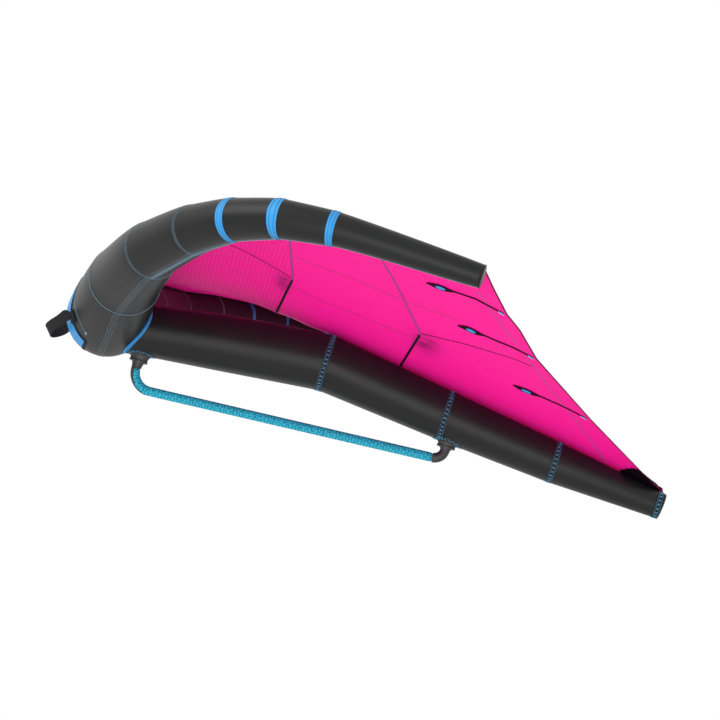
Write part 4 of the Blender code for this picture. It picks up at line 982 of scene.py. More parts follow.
# Each seam's name, line, width, thickness and cloth.
CANOPY_SEAMS = (
    ("front_seam", FRONT_SEAM, 0.0085, 0.0005, violet_tape_finish),
    ("rear_seam", REAR_SEAM, 0.0085, 0.0005, violet_tape_finish),
    ("corner_seam", (FRONT_CORNER, CORNER_BEND, sewn_plan(2.2)), 0.0045, 0.0005, hem_finish),
    ("bay_seam", (REAR_CORNER, (1.430, 0.605)), 0.0045, 0.0005, hem_finish),
    *((title, corners, 0.008, 0.0004, faint_tape_finish) for title, corners in FAINT_SEAMS.items()),
    ("strip_seam", STRIP_SEAM, 0.010, 0.0005, strip_tape_finish),
    ("rear_hem", HEM, 0.0054, 0.0006, hem_finish),
)
on_canopy = []
for seam in CANOPY_SEAMS:
    on_canopy += canopy_tape(*seam)
# A pale tape on the underside along the root, lighter than the sheet as a painted highlight.
ROOT_LINE = ((0.560, 0.0045), (0.786, 0.0045))
on_canopy += canopy_tape("root_highlight_strip", ROOT_LINE, 0.0085, 0.0006, root_highlight_finish, (UNDERSIDE,))


def ease_edges(piece, width):
    """Rounds a piece's sharp edges a little."""
    rounding = piece.modifiers.new("rounding", "BEVEL")
    rounding.width, rounding.segments, rounding.limit_method = width, 2, "ANGLE"


BARS = {"front_bar": ((0.5509, 0.012), (0.5850, 0.372)), "rear_bar": ((1.0145, 0.012), (1.0455, 0.368))}
for bar_name, corners in BARS.items():
    for bar in canopy_tape(bar_name, corners, 0.0080, 0.0028, hem_finish, (UNDERSIDE,)):
        ease_edges(bar, 0.0011)
        on_canopy.append(bar)

# A black tape covers the canopy's edge on the leading edge tube.
edge_path = []
for reach in np.linspace(-TUBE_END + 0.004, TUBE_END - 0.004, 420):
    angle = sewn_angle(reach) - EDGE_TAPE_BACK / tube_radius(reach)
    edge_path.append(tube_spot(reach, angle, EDGE_TAPE_CLOTH / 2 + 0.0003))
flat_strip("canopy_edge_tape", edge_path, EDGE_TAPE_WIDTH, EDGE_TAPE_CLOTH, black_tape_finish, "sleeve_cloth")

# The canopy's root is closed to the strut by a strip of its own cloth, and a tape on each side,
# both black beside the rear corner.
BINDING_ASIDE = 0.0103149
ROOT_RUNS = (("", (0.780, 1.843), faint_tape_finish), ("_rear", (1.843, 2.003), hem_finish))
for run_name, run, root_finish in ROOT_RUNS:
    places = np.linspace(*run, round((run[1] - run[0]) / 0.012) + 1)
    root_path = []
    for x in places:
        lift = canopy_height(x, 0.0) - strut_reading(x, 1) - strut_reading(x, 2)
        root_path.append((strut_spot(x, 0.0, lift / 2)[0], Vector((0, 0, 1))))
    flat_strip(f"canopy_root_strip{run_name}", root_path, 0.014, CANOPY_LIFT + 0.0002, root_finish)
    for half_name, half in HALVES:
        sides = [strut_spot(x, half * BINDING_ASIDE / strut_reading(x, 2), 0.0012) for x in places]
        flat_strip(f"strut_binding{run_name}_{half_name}", sides, 0.010, 0.0006, root_finish)

# Black cloth doubles the root's rear corner.
dark_patch_finish = woven_cloth("corner_patch_cloth", (0.0085, 0.0018, 0.0062), 0.6, shade=0.2, gloss=0.03)


def canopy_patch(name, corners, thickness, finish, slot="canopy_cloth", depth=0.0, faces_shown=(UNDERSIDE,)):
    """A flat patch sewn to the sheet, filled in from its outline, on both halves."""
    rim = along_plan(list(corners) + [corners[0]], 0.008)[:-1]
    hub, count, levels = sum(rim, Vector((0, 0))) / len(rim), len(rim), (1.0, 0.75, 0.5, 0.25)
    plan_points = [hub.lerp(point, share) for share in levels for point in rim] + [hub]
    layer, faces = len(plan_points), []
    around = [(k, (k + 1) % count) for k in range(count)]
    for base in (0, layer):
        for a in range(base, base + count * (len(levels) - 1), count):
            faces += [(a + k, a + n, a + count + n, a + count + k) for k, n in around]
        inmost = base + (len(levels) - 1) * count
        faces += [(inmost + k, inmost + n, base + layer - 1) for k, n in around]
    faces += [(k, layer + k, layer + n, n) for k, n in around]
    made = []
    for half_name, half in HALVES:
        for face in faces_shown:
            points = []
            for lift in (0.0, thickness):
                raised = face * (CANOPY_CLOTH / 2 + 0.0001 + depth + lift)
                points += [canopy_spot(spot.x, spot.y * half, raised)[0] for spot in plan_points]
            uvs = [(points[k].y, points[k].x) for corner in faces for k in corner]
            title = side_title(name, half_name, face)
            made.append(round_off(lay_down(title, points, faces, uvs, finish, slot, smooth=False)))
    return made


CORNER_PATCH = ((1.838, 0.0), (1.856, 0.034), (1.882, 0.07), (1.9135, 0.1015), (1.956, 0.0545), (2.005, 0.0))
both_sides = {"faces_shown": (UNDERSIDE, TOPSIDE)}
on_canopy += canopy_patch("corner_patch", CORNER_PATCH, 0.0006, dark_patch_finish, **both_sides)

# Battens. Three flat fibreglass rods on each half run in narrow sleeves under the sheet to its
# rear edge. Each starts under an eye-shaped cloth patch and ends in a sewn tab.

blue_finish = woven_cloth("blue_tape_cloth", (0.036, 0.285, 0.63), 0.45, threads=1100.0, shade=0.14)
pale_blue_finish = woven_cloth("pale_blue_tab_cloth", (0.14, 0.42, 0.74), 0.5, threads=1100.0, shade=0.12)
BATTENS = (
    ("outer", (1.017, 0.868), (1.280, 0.940)),
    ("middle", (1.155, 0.607), (1.419, 0.699)),
    ("inner", (1.395, 0.319), (1.658, 0.371)),
)
BATTEN_WIDTH = 0.0085
BATTEN_DEPTH = 0.0030
EYE_LENGTH, EYE_WIDTH = 0.102, 0.038
OVAL_LENGTH, OVAL_WIDTH = 0.035, 0.021
TAB_LENGTH, TAB_WIDTH = 0.020, 0.012
batten_finish = woven_cloth("batten_sleeve_cloth", (0.0085, 0.0022, 0.0065), 0.6, shade=0.2, gloss=0.04)


def lens_outline(middle, along, length, width):
    """Outline of an eye shape in the plan, pointed at both ends."""
    across = Vector((-along.y, along.x))
    near = [(-0.5 + k / 12, math.sin(math.pi * k / 12) * 0.5) for k in range(13)]
    far = [(0.5 - k / 12, -math.sin(math.pi * k / 12) * 0.5) for k in range(1, 12)]
    return [tuple(middle + along * (a * length) + across * (b * width)) for a, b in near + far]


def oval_outline(middle, along, length, width):
    across = Vector((-along.y, along.x))
    shares = [(math.cos(a) / 2, math.sin(a) / 2) for a in turns(20)]
    return [tuple(middle + along * (a * length) + across * (b * width)) for a, b in shares]


for batten, start, end in BATTENS:
    start, end = Vector(start), Vector(end)
    along = (end - start).normalized()
    for half_name, half in HALVES:
        under = -(CANOPY_CLOTH / 2 + BATTEN_DEPTH / 2 + 0.0001)
        run = along_plan((start, end - along * 0.002), 0.008)
        path = [canopy_spot(point.x, point.y * half, under) for point in run]
        title, nodes = f"batten_{batten}_rod_{half_name}", [f"batten_{batten}_{half_name}"]
        rod = flat_strip(title, path, BATTEN_WIDTH, BATTEN_DEPTH, batten_finish, "batten_rod", nodes)
        ease_edges(rod, 0.0012)
    middle = start + along * (EYE_LENGTH * 0.47)
    across = Vector((-along.y, along.x)) * (TAB_WIDTH / 2)
    tip = end - along * 0.001
    tab = [tuple(p) for p in (tip - along * TAB_LENGTH - across, tip - across, tip + across)]
    tab.append(tuple(tip - along * TAB_LENGTH + across))
    eye = lens_outline(middle, along, EYE_LENGTH, EYE_WIDTH)
    oval = oval_outline(middle, along, OVAL_LENGTH, OVAL_WIDTH)
    for title, outline, *look in (
        ("eye", eye, 0.0007, dark_patch_finish, "canopy_cloth", BATTEN_DEPTH),
        ("oval", oval, 0.0009, blue_finish, "blue_cloth", BATTEN_DEPTH + 0.0008),
        ("tab", tab, 0.0007, pale_blue_finish, "blue_cloth", BATTEN_DEPTH),
    ):
        on_canopy += canopy_patch(f"batten_{title}_{batten}", outline, *look)

# Seam bands. Wide blue tape is sewn over the outer ring seams of the leading edge, and black tape
# over the ring seams of the strut and its end, where the cloth is loaded most.

BAND_CLOTH = 0.0006


def wrapped_band(name, rings_at, first, last, radius, finish, slot):
    """A closed band round a tube, its inside lying on the cloth and its outside a little proud."""
    lengths = list(np.linspace(first, last, 5))
    inner = np.array([rings_at(length, 0.0002) for length in lengths])
    outer = np.array([rings_at(length, 0.0002 + BAND_CLOTH) for length in lengths])
    shell = np.concatenate((outer, inner[::-1], outer[:1]))
    steps = lengths + [2 * last - length + 0.001 for length in lengths[::-1]] + [first - 0.001]
    skin = tube_skin(shell, steps, [2 * math.pi * radius] * len(shell))
    return round_off(lay_down(name, *skin, finish, slot), merge=0.00005, sharp=40)


def tube_ring(reach, proud):
    middle, _, up, aft = tube_frame(reach)
    return ring_points(middle, up, aft, tube_radius(reach) + proud, SLEEVE_SIDES)


def strut_ring(x, proud):
    return [strut_spot(x, angle, proud)[0] for angle in SLEEVE_ANGLES]


TUBE_BANDS = ((4, 0.036), (5, 0.036), (6, 0.040))
STRUT_BANDS = ((4, 0.022), (5, 0.021), (6, 0.020))
for seam, width in TUBE_BANDS:
    reach = SEAM_REACH[seam]
    for half_name, half in HALVES:
        run = (half * reach - width / 2, half * reach + width / 2, tube_radius(reach))
        wrapped_band(f"tube_band_{seam}_{half_name}", tube_ring, *run, blue_finish, "blue_cloth")
strut_runs = {"strut_end_band": (end_x - 0.0245, end_x - 0.001, end_radius)}
for seam, width in STRUT_BANDS:
    x, _, radius = STRUT_SEAMS[seam]
    strut_runs[f"strut_band_{seam}"] = (x - width / 2, x + width / 2, radius)
for title in sorted(strut_runs):
    wrapped_band(title, strut_ring, *strut_runs[title], black_tape_finish, "sleeve_cloth")

# The strut's front is joined to the leading edge tube by a tape that lies on both.
JOINT_TAPE_WIDTH = 0.016


def on_either(spot):
    """Lifts a point to just outside both tubes."""
    for _ in range(2):
        short = off_tube(spot)
        if short < 0.0006:
            reach = spot.y
            middle = tube_frame(reach)[0]
            spot = spot + (spot - middle).normalized() * (0.0006 - short)
    return spot


joint_rows = []
for angle, x in zip(SLEEVE_ANGLES, JOINT_LINE):
    row = []
    for step, proud in ((-1.0, 0.0009), (-0.5, 0.0009), (0.0, 0.0009), (0.5, 0.0009), (1.0, 0.0007)):
        if step < 0:
            # On the tube's side the tape turns outwards along the tube's own cloth.
            edge, outward = strut_spot(x, angle, proud)
            high = max(math.cos(angle), 0.0)
            spread = edge + outward * (-step * JOINT_TAPE_WIDTH * (0.85 + 0.8 * high))
            middle = tube_frame(spread.y)[0]
            for _ in range(3):
                away = off_tube(spread)
                spread = spread + (middle - spread).normalized() * (away - 0.0011)
            row.append(spread)
        else:
            row.append(on_either(strut_spot(x + step * JOINT_TAPE_WIDTH / 2, angle, proud)[0]))
    joint_rows.append(row)
joint_rings = np.array([[tuple(p) for p in row] for row in joint_rows]).transpose(1, 0, 2)
steps = list(np.linspace(0, JOINT_TAPE_WIDTH, 5))
skin = tube_skin(joint_rings, steps, [0.6] * 5)
give_wall(round_off(lay_down("strut_joint_tape", *skin, blue_finish, "blue_cloth")), 0.0005, 1.0)

# Stitching. Twin rows of thread on every ring seam, zigzag rows on the blue bands, and long
# rows where the canopy, its bays and the sleeve's own lengthwise seam are sewn.


def thread(name, colour):
    """Spun polyester sewing thread."""
    yarn, tree, shader = new_finish(name, colour)
    fibre = noise_pattern(tree, add_node(tree, "ShaderNodeTexCoord").outputs["Object"], 900.0)
    inputs = {
        "Base Color": mixed_colour(tree, fibre, tinted(colour, 0.75), tinted(colour, 1.2)),
        "Roughness": 0.65,
        "Specular IOR Level": 0.2,
    }
    feed(tree, shader, inputs)
    return yarn


grey_thread = thread("grey_blue_thread", (0.25, 0.37, 0.46))
blue_thread = thread("bright_blue_thread", (0.16, 0.46, 0.72))
navy_thread = thread("navy_thread", (0.012, 0.05, 0.16))
pink_thread = thread("pink_thread", (0.55, 0.02, 0.20))
black_thread = thread("black_thread", (0.012, 0.012, 0.013))


def bead_tree(name, finish, sizes, shape):
    """Lays one bead at every pitch along a path, turned to lie on the cloth. The sizes are inputs of
    the tree. The shape names the input, and the share of it, for a bead's depth, width and length."""
    tree = bpy.data.node_groups.new(name, "GeometryNodeTree")
    new_socket = tree.interface.new_socket
    new_socket("Path", in_out="INPUT", socket_type="NodeSocketGeometry")
    for title in sizes:
        new_socket(title, in_out="INPUT", socket_type="NodeSocketFloat")
    new_socket("Beads", in_out="OUTPUT", socket_type="NodeSocketGeometry")

    def add(kind, inputs=None, output=0, **settings):
        return add_node(tree, kind, inputs, **settings).outputs[output]

    given = add_node(tree, "NodeGroupInput").outputs
    curve = {"Curve": add("GeometryNodeMeshToCurve", {"Mesh": given["Path"]}), "Length": given["Pitch"]}
    spaced = add_node(tree, "GeometryNodeCurveToPoints", curve, mode="LENGTH").outputs
    stored = {"Name": "outward"}
    outward = add("GeometryNodeInputNamedAttribute", stored, "Attribute", data_type="FLOAT_VECTOR")
    turned = add("FunctionNodeAlignRotationToVector", {"Vector": spaced["Tangent"]}, axis="Z")
    facing = {"Rotation": turned, "Vector": outward}
    turned = add("FunctionNodeAlignRotationToVector", facing, axis="X", pivot_axis="Z")
    if "Zigzag angle" in sizes:
        # Every other stitch leans the other way.
        odd = reckon(tree, "MODULO", add("GeometryNodeInputIndex"), 2.0)
        swing = reckon(tree, "MULTIPLY", reckon(tree, "MULTIPLY_ADD", odd, 2.0, -1.0), given["Zigzag angle"])
        lean = add("FunctionNodeAxisAngleToRotation", {"Axis": (1, 0, 0), "Angle": swing})
        both = {"Rotation": turned, "Rotate By": lean}
        turned = add("FunctionNodeRotateRotation", both, rotation_space="LOCAL")
    bead = add("GeometryNodeMeshIcoSphere", {"Radius": 0.5, "Subdivisions": 1}, "Mesh")
    spans = [reckon(tree, "MULTIPLY", given[title], share) for title, share in shape]
    size = add("ShaderNodeCombineXYZ", dict(zip("XYZ", spans)))
    placed = {"Points": spaced["Points"], "Instance": bead, "Rotation": turned, "Scale": size}
    real = add("GeometryNodeRealizeInstances", {"Geometry": add("GeometryNodeInstanceOnPoints", placed)})
    finished = add("GeometryNodeSetMaterial", {"Geometry": real, "Material": finish})
    add_node(tree, "NodeGroupOutput", {"Beads": finished})
    return tree


def lay_beads(name, paths, tree, sizes, finish, body="wing"):
    """Beads along paths of points, each with its way out of the cloth, as one plain mesh."""
    mesh = bpy.data.meshes.new(name + "_path")
    points, ways, edges = [], [], []
    for path in paths:
        first = len(points)
        points += [tuple(spot) for spot, _ in path]
        ways += [tuple(way) for _, way in path]
        edges += [(k, k + 1) for k in range(first, len(points) - 1)]
    mesh.from_pydata(points, edges, [])
    outward = mesh.attributes.new("outward", "FLOAT_VECTOR", "POINT")
    outward.data.foreach_set("vector", np.array(ways, dtype=np.float32).reshape(-1))
    line = bpy.data.objects.new(name + "_path", mesh)
    scene.collection.objects.link(line)
    beads = line.modifiers.new("beads", "NODES")
    beads.node_group = tree
    for socket in tree.interface.items_tree:
        if socket.in_out == "INPUT" and socket.name in sizes:
            beads[socket.identifier] = sizes[socket.name]
    graph = bpy.context.evaluated_depsgraph_get()
    made = bpy.data.meshes.new_from_object(line.evaluated_get(graph))
    line.modifiers.clear()
    bpy.data.objects.remove(line)
    made.name = name
    made.materials.clear()
    made.materials.append(finish)
    piece = bpy.data.objects.new(name, made)
    scene.collection.objects.link(piece)
    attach(piece, body)
    return piece


STITCH_TREES = {}
STITCH_SHAPE = (("Thread radius", 2.0), ("Thread radius", 2.0), ("Stitch length", 1.0))


def sew(name, paths, yarn, slot, pitch, length, radius, zigzag=0.0, body="wing"):
    """Rows of stitches in one yarn. With a zigzag angle they lean to one side and the other."""
    sizes = {"Pitch": pitch, "Stitch length": length, "Thread radius": radius, "Zigzag angle": zigzag}
    if yarn.name not in STITCH_TREES:
        STITCH_TREES[yarn.name] = bead_tree("stitches_" + yarn.name, yarn, sizes, STITCH_SHAPE)
    stitches = lay_beads(name, paths, STITCH_TREES[yarn.name], sizes, yarn, body)
    stitches.data.shade_smooth()
    return stitches


PATH_STEPS = 120


def once_round(spot_at, place, proud=0.0005):
    """A path once round a tube, given the function for its points."""
    return [spot_at(place, angle, proud) for angle in (*turns(PATH_STEPS), 2 * math.pi)]


ring_rows, band_rows = [], []
for half in (-1, 1):
    for seam, spread in ((1, 0.004), (2, 0.005), (3, 0.006)):
        for aside in (-spread, spread):
            ring_rows.append(once_round(tube_spot, half * SEAM_REACH[seam] + aside))
    for seam, width in TUBE_BANDS:
        for aside in (-0.24, 0.24):
            band_rows.append(once_round(tube_spot, half * SEAM_REACH[seam] + aside * width, 0.0012))
sew("ring_seam_stitches", ring_rows, grey_thread, "sleeve_cloth", 0.0062, 0.0062, 0.0008, math.radians(38))
sew("band_stitches", band_rows, navy_thread, "blue_cloth", 0.0056, 0.0092, 0.0006, math.radians(48))
lattice_rows, border_rows = [], []
for x in [STRUT_SEAMS[seam, 0] for seam, _ in STRUT_BANDS] + [end_x - 0.0125]:
    lattice_rows.append(once_round(strut_spot, x, 0.0012))
    for aside in (-0.0082, 0.0082):
        border_rows.append(once_round(strut_spot, x + aside, 0.0011))
for title, lean in (("strut_lattice_stitches", 48), ("strut_cross_stitches", -48)):
    sew(title, lattice_rows, blue_thread, "blue_cloth", 0.0155, 0.0180, 0.00068, math.radians(lean))
sew("strut_border_stitches", border_rows, blue_thread, "blue_cloth", 0.0080, 0.0062, 0.00060)
joint_path = []
for a, x in zip(SLEEVE_ANGLES, JOINT_LINE):
    joint_path.append((strut_spot(x + 0.0035, a, 0.0019)[0], strut_spot(x, a)[1]))
joint_path.append(joint_path[0])
sew("joint_tape_stitches", [joint_path], navy_thread, "blue_cloth", 0.0060, 0.0080, 0.0006, math.radians(42))

# The sleeve's lengthwise seam runs along its underside, round both halves, with a pale tape
# beside it. Its distances from the nose, and its angles there in degrees from the top.
SEAM_REACHES = (0.15, 0.29, 0.50, 0.70, 0.82, 0.97, 1.06, 1.15, 1.31, 1.50, 1.74, 1.97)
SEAM_ANGLES = (173, 177, 175, 175, 173, 174, 171, 168, 174, 178, 175, 174)


def beside_seam(reach, half, aside):
    """A point on the sleeve's cloth beside its lengthwise seam, and the way out of it."""
    angle = math.radians(float(np.interp(reach, SEAM_REACHES, SEAM_ANGLES)))
    return tube_spot(half * reach, angle + aside / tube_radius(reach), 0.0005)


long_rows, tape_rows = [], []
for half in (-1, 1):
    for aside in (-0.0085, 0.0, 0.0085):
        places = np.linspace(0.002, TUBE_END - 0.01, 220)
        long_rows.append([beside_seam(reach, half, aside) for reach in places])
    for aside in (-0.0055, -0.011, -0.0165):
        places = np.linspace(0.70, 1.32, 100)
        tape_rows.append([beside_seam(reach, half, aside) for reach in places])
sew("long_seam_stitches", long_rows, grey_thread, "sleeve_cloth", 0.0060, 0.0046, 0.00070)
sew("long_tape_stitches", tape_rows, grey_thread, "sleeve_cloth", 0.0060, 0.0070, 0.0008, math.radians(45))
edge_rows = []
for aside in (0.0035, 0.0115):
    rows = []
    for reach in np.linspace(-TUBE_END + 0.01, TUBE_END - 0.01, 500):
        rows.append(tube_spot(reach, sewn_angle(reach) - aside / tube_radius(reach), 0.0012))
    edge_rows.append(rows)
sew("canopy_edge_stitches", edge_rows, grey_thread, "sleeve_cloth", 0.0065, 0.0050, 0.00055)


def canopy_path(corners, aside, face, half, proud=0.0009):
    """A path on the sheet beside a line of plan points."""
    path, plan_points = [], along_plan(corners, 0.012)
    for k, point in enumerate(plan_points):
        before, after = plan_points[max(k - 1, 0)], plan_points[min(k + 1, len(plan_points) - 1)]
        way = (after - before).normalized()
        spot = point + Vector((-way.y, way.x)) * aside
        y = max(spot.y, 0.001) * half
        place, normal = canopy_spot(spot.x, y, face * (CANOPY_CLOTH / 2 + proud))
        path.append((place - normal * seam_dip(spot.x, y), normal * face))
    return path


seam_rows, hem_rows = [], []
for half in (-1, 1):
    for face in (UNDERSIDE, TOPSIDE):
        for corners, spread in ((FRONT_SEAM, 0.0028), (REAR_SEAM, 0.0028), (STRIP_SEAM, 0.0034)):
            for aside in (-spread, spread):
                seam_rows.append(canopy_path(corners, aside, face, half, 0.0008))
        for corners in FAINT_SEAMS.values():
            seam_rows.append(canopy_path(corners, 0.0, face, half, 0.0007))
        hem_rows.append(canopy_path(HEM, 0.0, face, half, 0.0009))
sew("canopy_seam_stitches", seam_rows, pink_thread, "canopy_cloth", 0.0080, 0.0062, 0.0005)
sew("hem_stitches", hem_rows, black_thread, "canopy_cloth", 0.0080, 0.0060, 0.0005)

# Boom feet. Two glass-filled nylon feet are screwed and taped to the underside of the tubes.
# Each has a broad saddle that follows the tube and a flat seat for the boom's fitting.

BOOM_FRONT_X, BOOM_REAR_X = 0.149, 1.247
FOOT_LENGTH, FOOT_WIDTH = 0.034, 0.021
SADDLE_LENGTH, SADDLE_WIDTH = 0.039, 0.030
FOOT_DEPTHS = {"front": 0.017, "rear": 0.010}
FLANGE_DEPTH = 0.006
FITTING_GAP = 0.0003
SCREW_ASIDE = 0.0265
FOOT_SIDES = 72
FEET = {"front": BOOM_FRONT_X, "rear": BOOM_REAR_X}


def strut_under(x):
    return strut_reading(x, 1) - strut_reading(x, 2)


def saddle_top(x, y, down):
    """Lowest the foot's saddle may reach up at a plan point, just under both tubes' cloth."""
    radius = strut_reading(x, 2)
    height = strut_reading(x, 1) - math.sqrt(max(radius * radius - y * y, 0.0))
    spot = Vector((x, y, height)) + NOSE_MIDDLE
    short = off_tube(spot)
    while short < 0.0004:
        spot.z -= max(0.0004 - short, 0.0003)
        short = off_tube(spot)
    return spot.z - 0.0004 - down


def foot_mesh(centre_x, depth):
    """Flat seat below, a waist, and a thin saddle that spreads out along the tube above."""
    seat = strut_under(centre_x) - depth + NOSE_MIDDLE.z
    rings = []
    # Size, share of the way up from the seat, and depth under the cloth in the saddle.
    levels = [(0.30, 0.0, None), (0.86, 0.0, None), (0.885, 0.0008, None), (0.89, 0.12, None)]
    levels += [(0.905, 0.30, None), (0.935, 0.50, None), (0.99, 0.70, None), (1.06, 0.85, None)]
    levels += [(0.985, None, 0.0016), (1.0, None, 0.0009), (0.99, None, 0.0003), (0.955, None, 0.0)]
    levels += [(0.7, None, 0.0), (0.4, None, 0.0)]
    for size, rise, down in levels:
        ring = []
        for a in turns(FOOT_SIDES):
            long, wide = (SADDLE_LENGTH, SADDLE_WIDTH) if rise is None else (FOOT_LENGTH, FOOT_WIDTH)
            x, y = centre_x + long * size * math.cos(a), wide * size * math.sin(a)
            height = saddle_top(x, y, down or 0.0)
            if rise is not None:
                grown = rise if rise < 0.01 else (height - seat) * rise
                height = min(seat + grown, height - 0.001)
            ring.append(Vector((x + NOSE_MIDDLE.x, y, height)))
        rings.append(ring)
    return closed_loft(rings)


def sewn_row(inner, outer, share, low):
    """A path round the feet's tape, a share of the way from its inner to its outer edge."""
    row = []
    for a, b in zip(inner + inner[:1], outer + outer[:1]):
        spot = a.lerp(b, share) - Vector((0, 0, low))
        row.append((spot, (spot - Vector((spot.x, 0, spot.z + 0.09))).normalized()))
    return row


for end_name, centre_x in FEET.items():
    skin, nodes = foot_mesh(centre_x, FOOT_DEPTHS[end_name]), [f"boom_foot_{end_name}"]
    title = f"boom_foot_{end_name}_moulding"
    round_off(lay_down(title, *skin, moulding_finish, "black_plastic", nodes=nodes))
    # A black tape, sewn down in a blue zigzag, holds the saddle's edge to the cloth.
    ring_in, ring_out = [], []
    for a in turns(FOOT_SIDES):
        for ring, grow in ((ring_in, 0.0010), (ring_out, 0.0135)):
            x = centre_x + (SADDLE_LENGTH + grow) * math.cos(a)
            y = (SADDLE_WIDTH + grow) * math.sin(a)
            ring.append(Vector((x + NOSE_MIDDLE.x, y, saddle_top(x, y, -0.0001))))
    rows = []
    for ring, drop in zip((ring_in, ring_out, ring_out, ring_in, ring_in), (0.0, 0.0, 0.0007, 0.0007, 0.0)):
        rows.append([tuple(p - Vector((0, 0, drop))) for p in ring])
    skin = tube_skin(np.array(rows), [0, 0.011, 0.012, 0.023, 0.024], [0.3] * 5)
    collar = lay_down(f"boom_foot_{end_name}_tape", *skin, black_tape_finish, "sleeve_cloth")
    round_off(collar, merge=0.00002, sharp=40)
    middle_row = [sewn_row(ring_in, ring_out, 0.5, 0.0011)]
    border = [sewn_row(ring_in, ring_out, share, 0.0010) for share in (0.06, 0.94)]
    title = f"boom_foot_{end_name}_stitches"
    sew(title, middle_row, blue_thread, "blue_cloth", 0.0110, 0.0130, 0.00100, math.radians(48))
    sew(f"boom_foot_{end_name}_border", border, blue_thread, "blue_cloth", 0.0088, 0.0050, 0.0005)

# Boom. A carbon tube, bent at both ends, that the rider holds. A soft foam sleeve covers its
# straight run and front bend, and moulded fittings hold its ends to the feet.

BOOM_RADIUS = 0.0132
GRIP_THICKNESS = 0.0023
NECK_RADIUS = 0.0172
FRONT_CORNER = Vector((BOOM_FRONT_X, 0, -0.2114)) + NOSE_MIDDLE
REAR_CORNER_SPOT = Vector((BOOM_REAR_X, 0, -0.1267)) + NOSE_MIDDLE
FRONT_BEND, REAR_BEND = 0.065, 0.036
BOOM_SIDES = 48
boom_along = (REAR_CORNER_SPOT - FRONT_CORNER).normalized()
SEATS = {end: strut_under(x) - FOOT_DEPTHS[end] + NOSE_MIDDLE.z for end, x in FEET.items()}


def bend_points(corner, before, after, radius, count):
    """Points of the arc that rounds a corner, with the direction at each."""
    turned = before.angle(after)
    start = corner - before * (radius * math.tan(turned / 2))
    inward = (after - before * before.dot(after)).normalized()
    hub = start + inward * radius
    out = []
    for k in range(count + 1):
        a = turned * k / count
        spot = hub + (before * math.sin(a) - inward * math.cos(a)) * radius
        out.append((spot, before * math.cos(a) + inward * math.sin(a)))
    return out


DOWN = Vector((0, 0, -1))
front_arc = bend_points(FRONT_CORNER, DOWN, boom_along, FRONT_BEND, 28)
rear_arc = bend_points(REAR_CORNER_SPOT, boom_along, -DOWN, REAR_BEND, 24)
straight_from, straight_to = front_arc[-1][0], rear_arc[0][0]
straight = [(straight_from.lerp(straight_to, share), boom_along) for share in np.linspace(0, 1, 90)[1:-1]]
boom_path = front_arc + straight + rear_arc


def round_skin(path, radius_at):
    """Rings square to a path in the boom's own upright plane. Radius may change on the way."""
    rings, lengths, length = [], [], 0.0
    for k, (spot, way) in enumerate(path):
        if k:
            length += (spot - path[k - 1][0]).length
        sideways = Vector((0, 1, 0))
        rings.append(ring_points(spot, sideways.cross(way), sideways, radius_at(length), BOOM_SIDES))
        lengths.append(length)
    return rings, lengths


def bricks(tree, place, colours, sizes, soft=0.1):
    """Bricks in two colours with a third between them. The sizes are length, height and gap."""
    titles = ("Color1", "Color2", "Mortar", "Brick Width", "Row Height", "Mortar Size")
    inputs = dict(zip(titles, (*colours, *sizes)))
    inputs.update({"Vector": place, "Scale": 1.0, "Mortar Smooth": soft})
    return add_node(tree, "ShaderNodeTexBrick", inputs, offset=0.5).outputs["Color"]


def carbon_weave():
    """Clear-coated carbon: fine twill, dark and glossy."""
    twill, tree, shader = new_finish("carbon_twill", (0.02, 0.02, 0.022))
    uv = add_node(tree, "ShaderNodeTexCoord").outputs["UV"]
    colours = ((0.010, 0.010, 0.011, 1), (0.034, 0.035, 0.038, 1), (0.006, 0.006, 0.007, 1))
    inputs = {
        "Base Color": bricks(tree, uv, colours, (0.004, 0.002, 0.0001)),
        "Roughness": 0.38,
        "Coat Weight": 0.6,
        "Coat Roughness": 0.12,
    }
    feed(tree, shader, inputs)
    return twill


carbon_finish = carbon_weave()
tube_path_points = [(front_arc[0][0] + Vector((0, 0, 0.012)), DOWN)] + boom_path
rings, lengths = round_skin(tube_path_points, lambda length: BOOM_RADIUS)
skin = closed_loft(rings, lengths)
round_off(lay_down("boom_tube_carbon", *skin, carbon_finish, "carbon", nodes=["boom_tube"]))


def grip_foam():
    """Soft moulded foam with raised wavy ribs and painted shade in the grooves between them, a little darker
    where hands have rubbed it.
    """
    foam, tree, shader = new_finish("grip_foam_ribbed", (0.022, 0.40, 0.58))
    uv = add_node(tree, "ShaderNodeTexCoord").outputs["UV"]
    # Short grooves across the grip, broken and bent like the marks of a cast skin.
    inputs = {"Vector": uv, "Scale": 75.0, "Detail": 2.0}
    wander = add_node(tree, "ShaderNodeTexNoise", inputs).outputs["Color"]
    inputs = {0: wander, 1: (0.016, 0.016, 0), 2: uv}
    bent = add_node(tree, "ShaderNodeVectorMath", inputs, operation="MULTIPLY_ADD").outputs[0]
    inputs = {"Vector": bent, "Rotation": (0, 0, math.radians(90))}
    across = add_node(tree, "ShaderNodeMapping", inputs).outputs[0]
    greys = ((1, 1, 1, 1), (0.75, 0.75, 0.75, 1), (0, 0, 0, 1))
    ribs = bricks(tree, across, greys, (0.0195, 0.0110, 0.0013), 0.35)
    # The grooves between the ribs are coloured darker: painted shade in them.
    shade = add_node(tree, "ShaderNodeValToRGB", {"Fac": ribs})
    low, high = shade.color_ramp.elements
    low.position, low.color = 0.05, (0.006, 0.110, 0.175, 1)
    high.position, high.color = 0.85, (0.028, 0.40, 0.55, 1)
    worn = reckon(tree, "MULTIPLY", noise_pattern(tree, uv, 9.0), 0.18)
    height = reckon(tree, "MULTIPLY_ADD", noise_pattern(tree, uv, 1300.0, 3.0), 0.12, ribs)
    inputs = {
        "Base Color": mixed_colour(tree, worn, shade.outputs["Color"], (0.04, 0.39, 0.54, 1)),
        "Normal": bumped(tree, height, 0.7, 0.0008),
        "Roughness": 0.72,
        "Specular IOR Level": 0.15,
    }
    feed(tree, shader, inputs)
    return foam


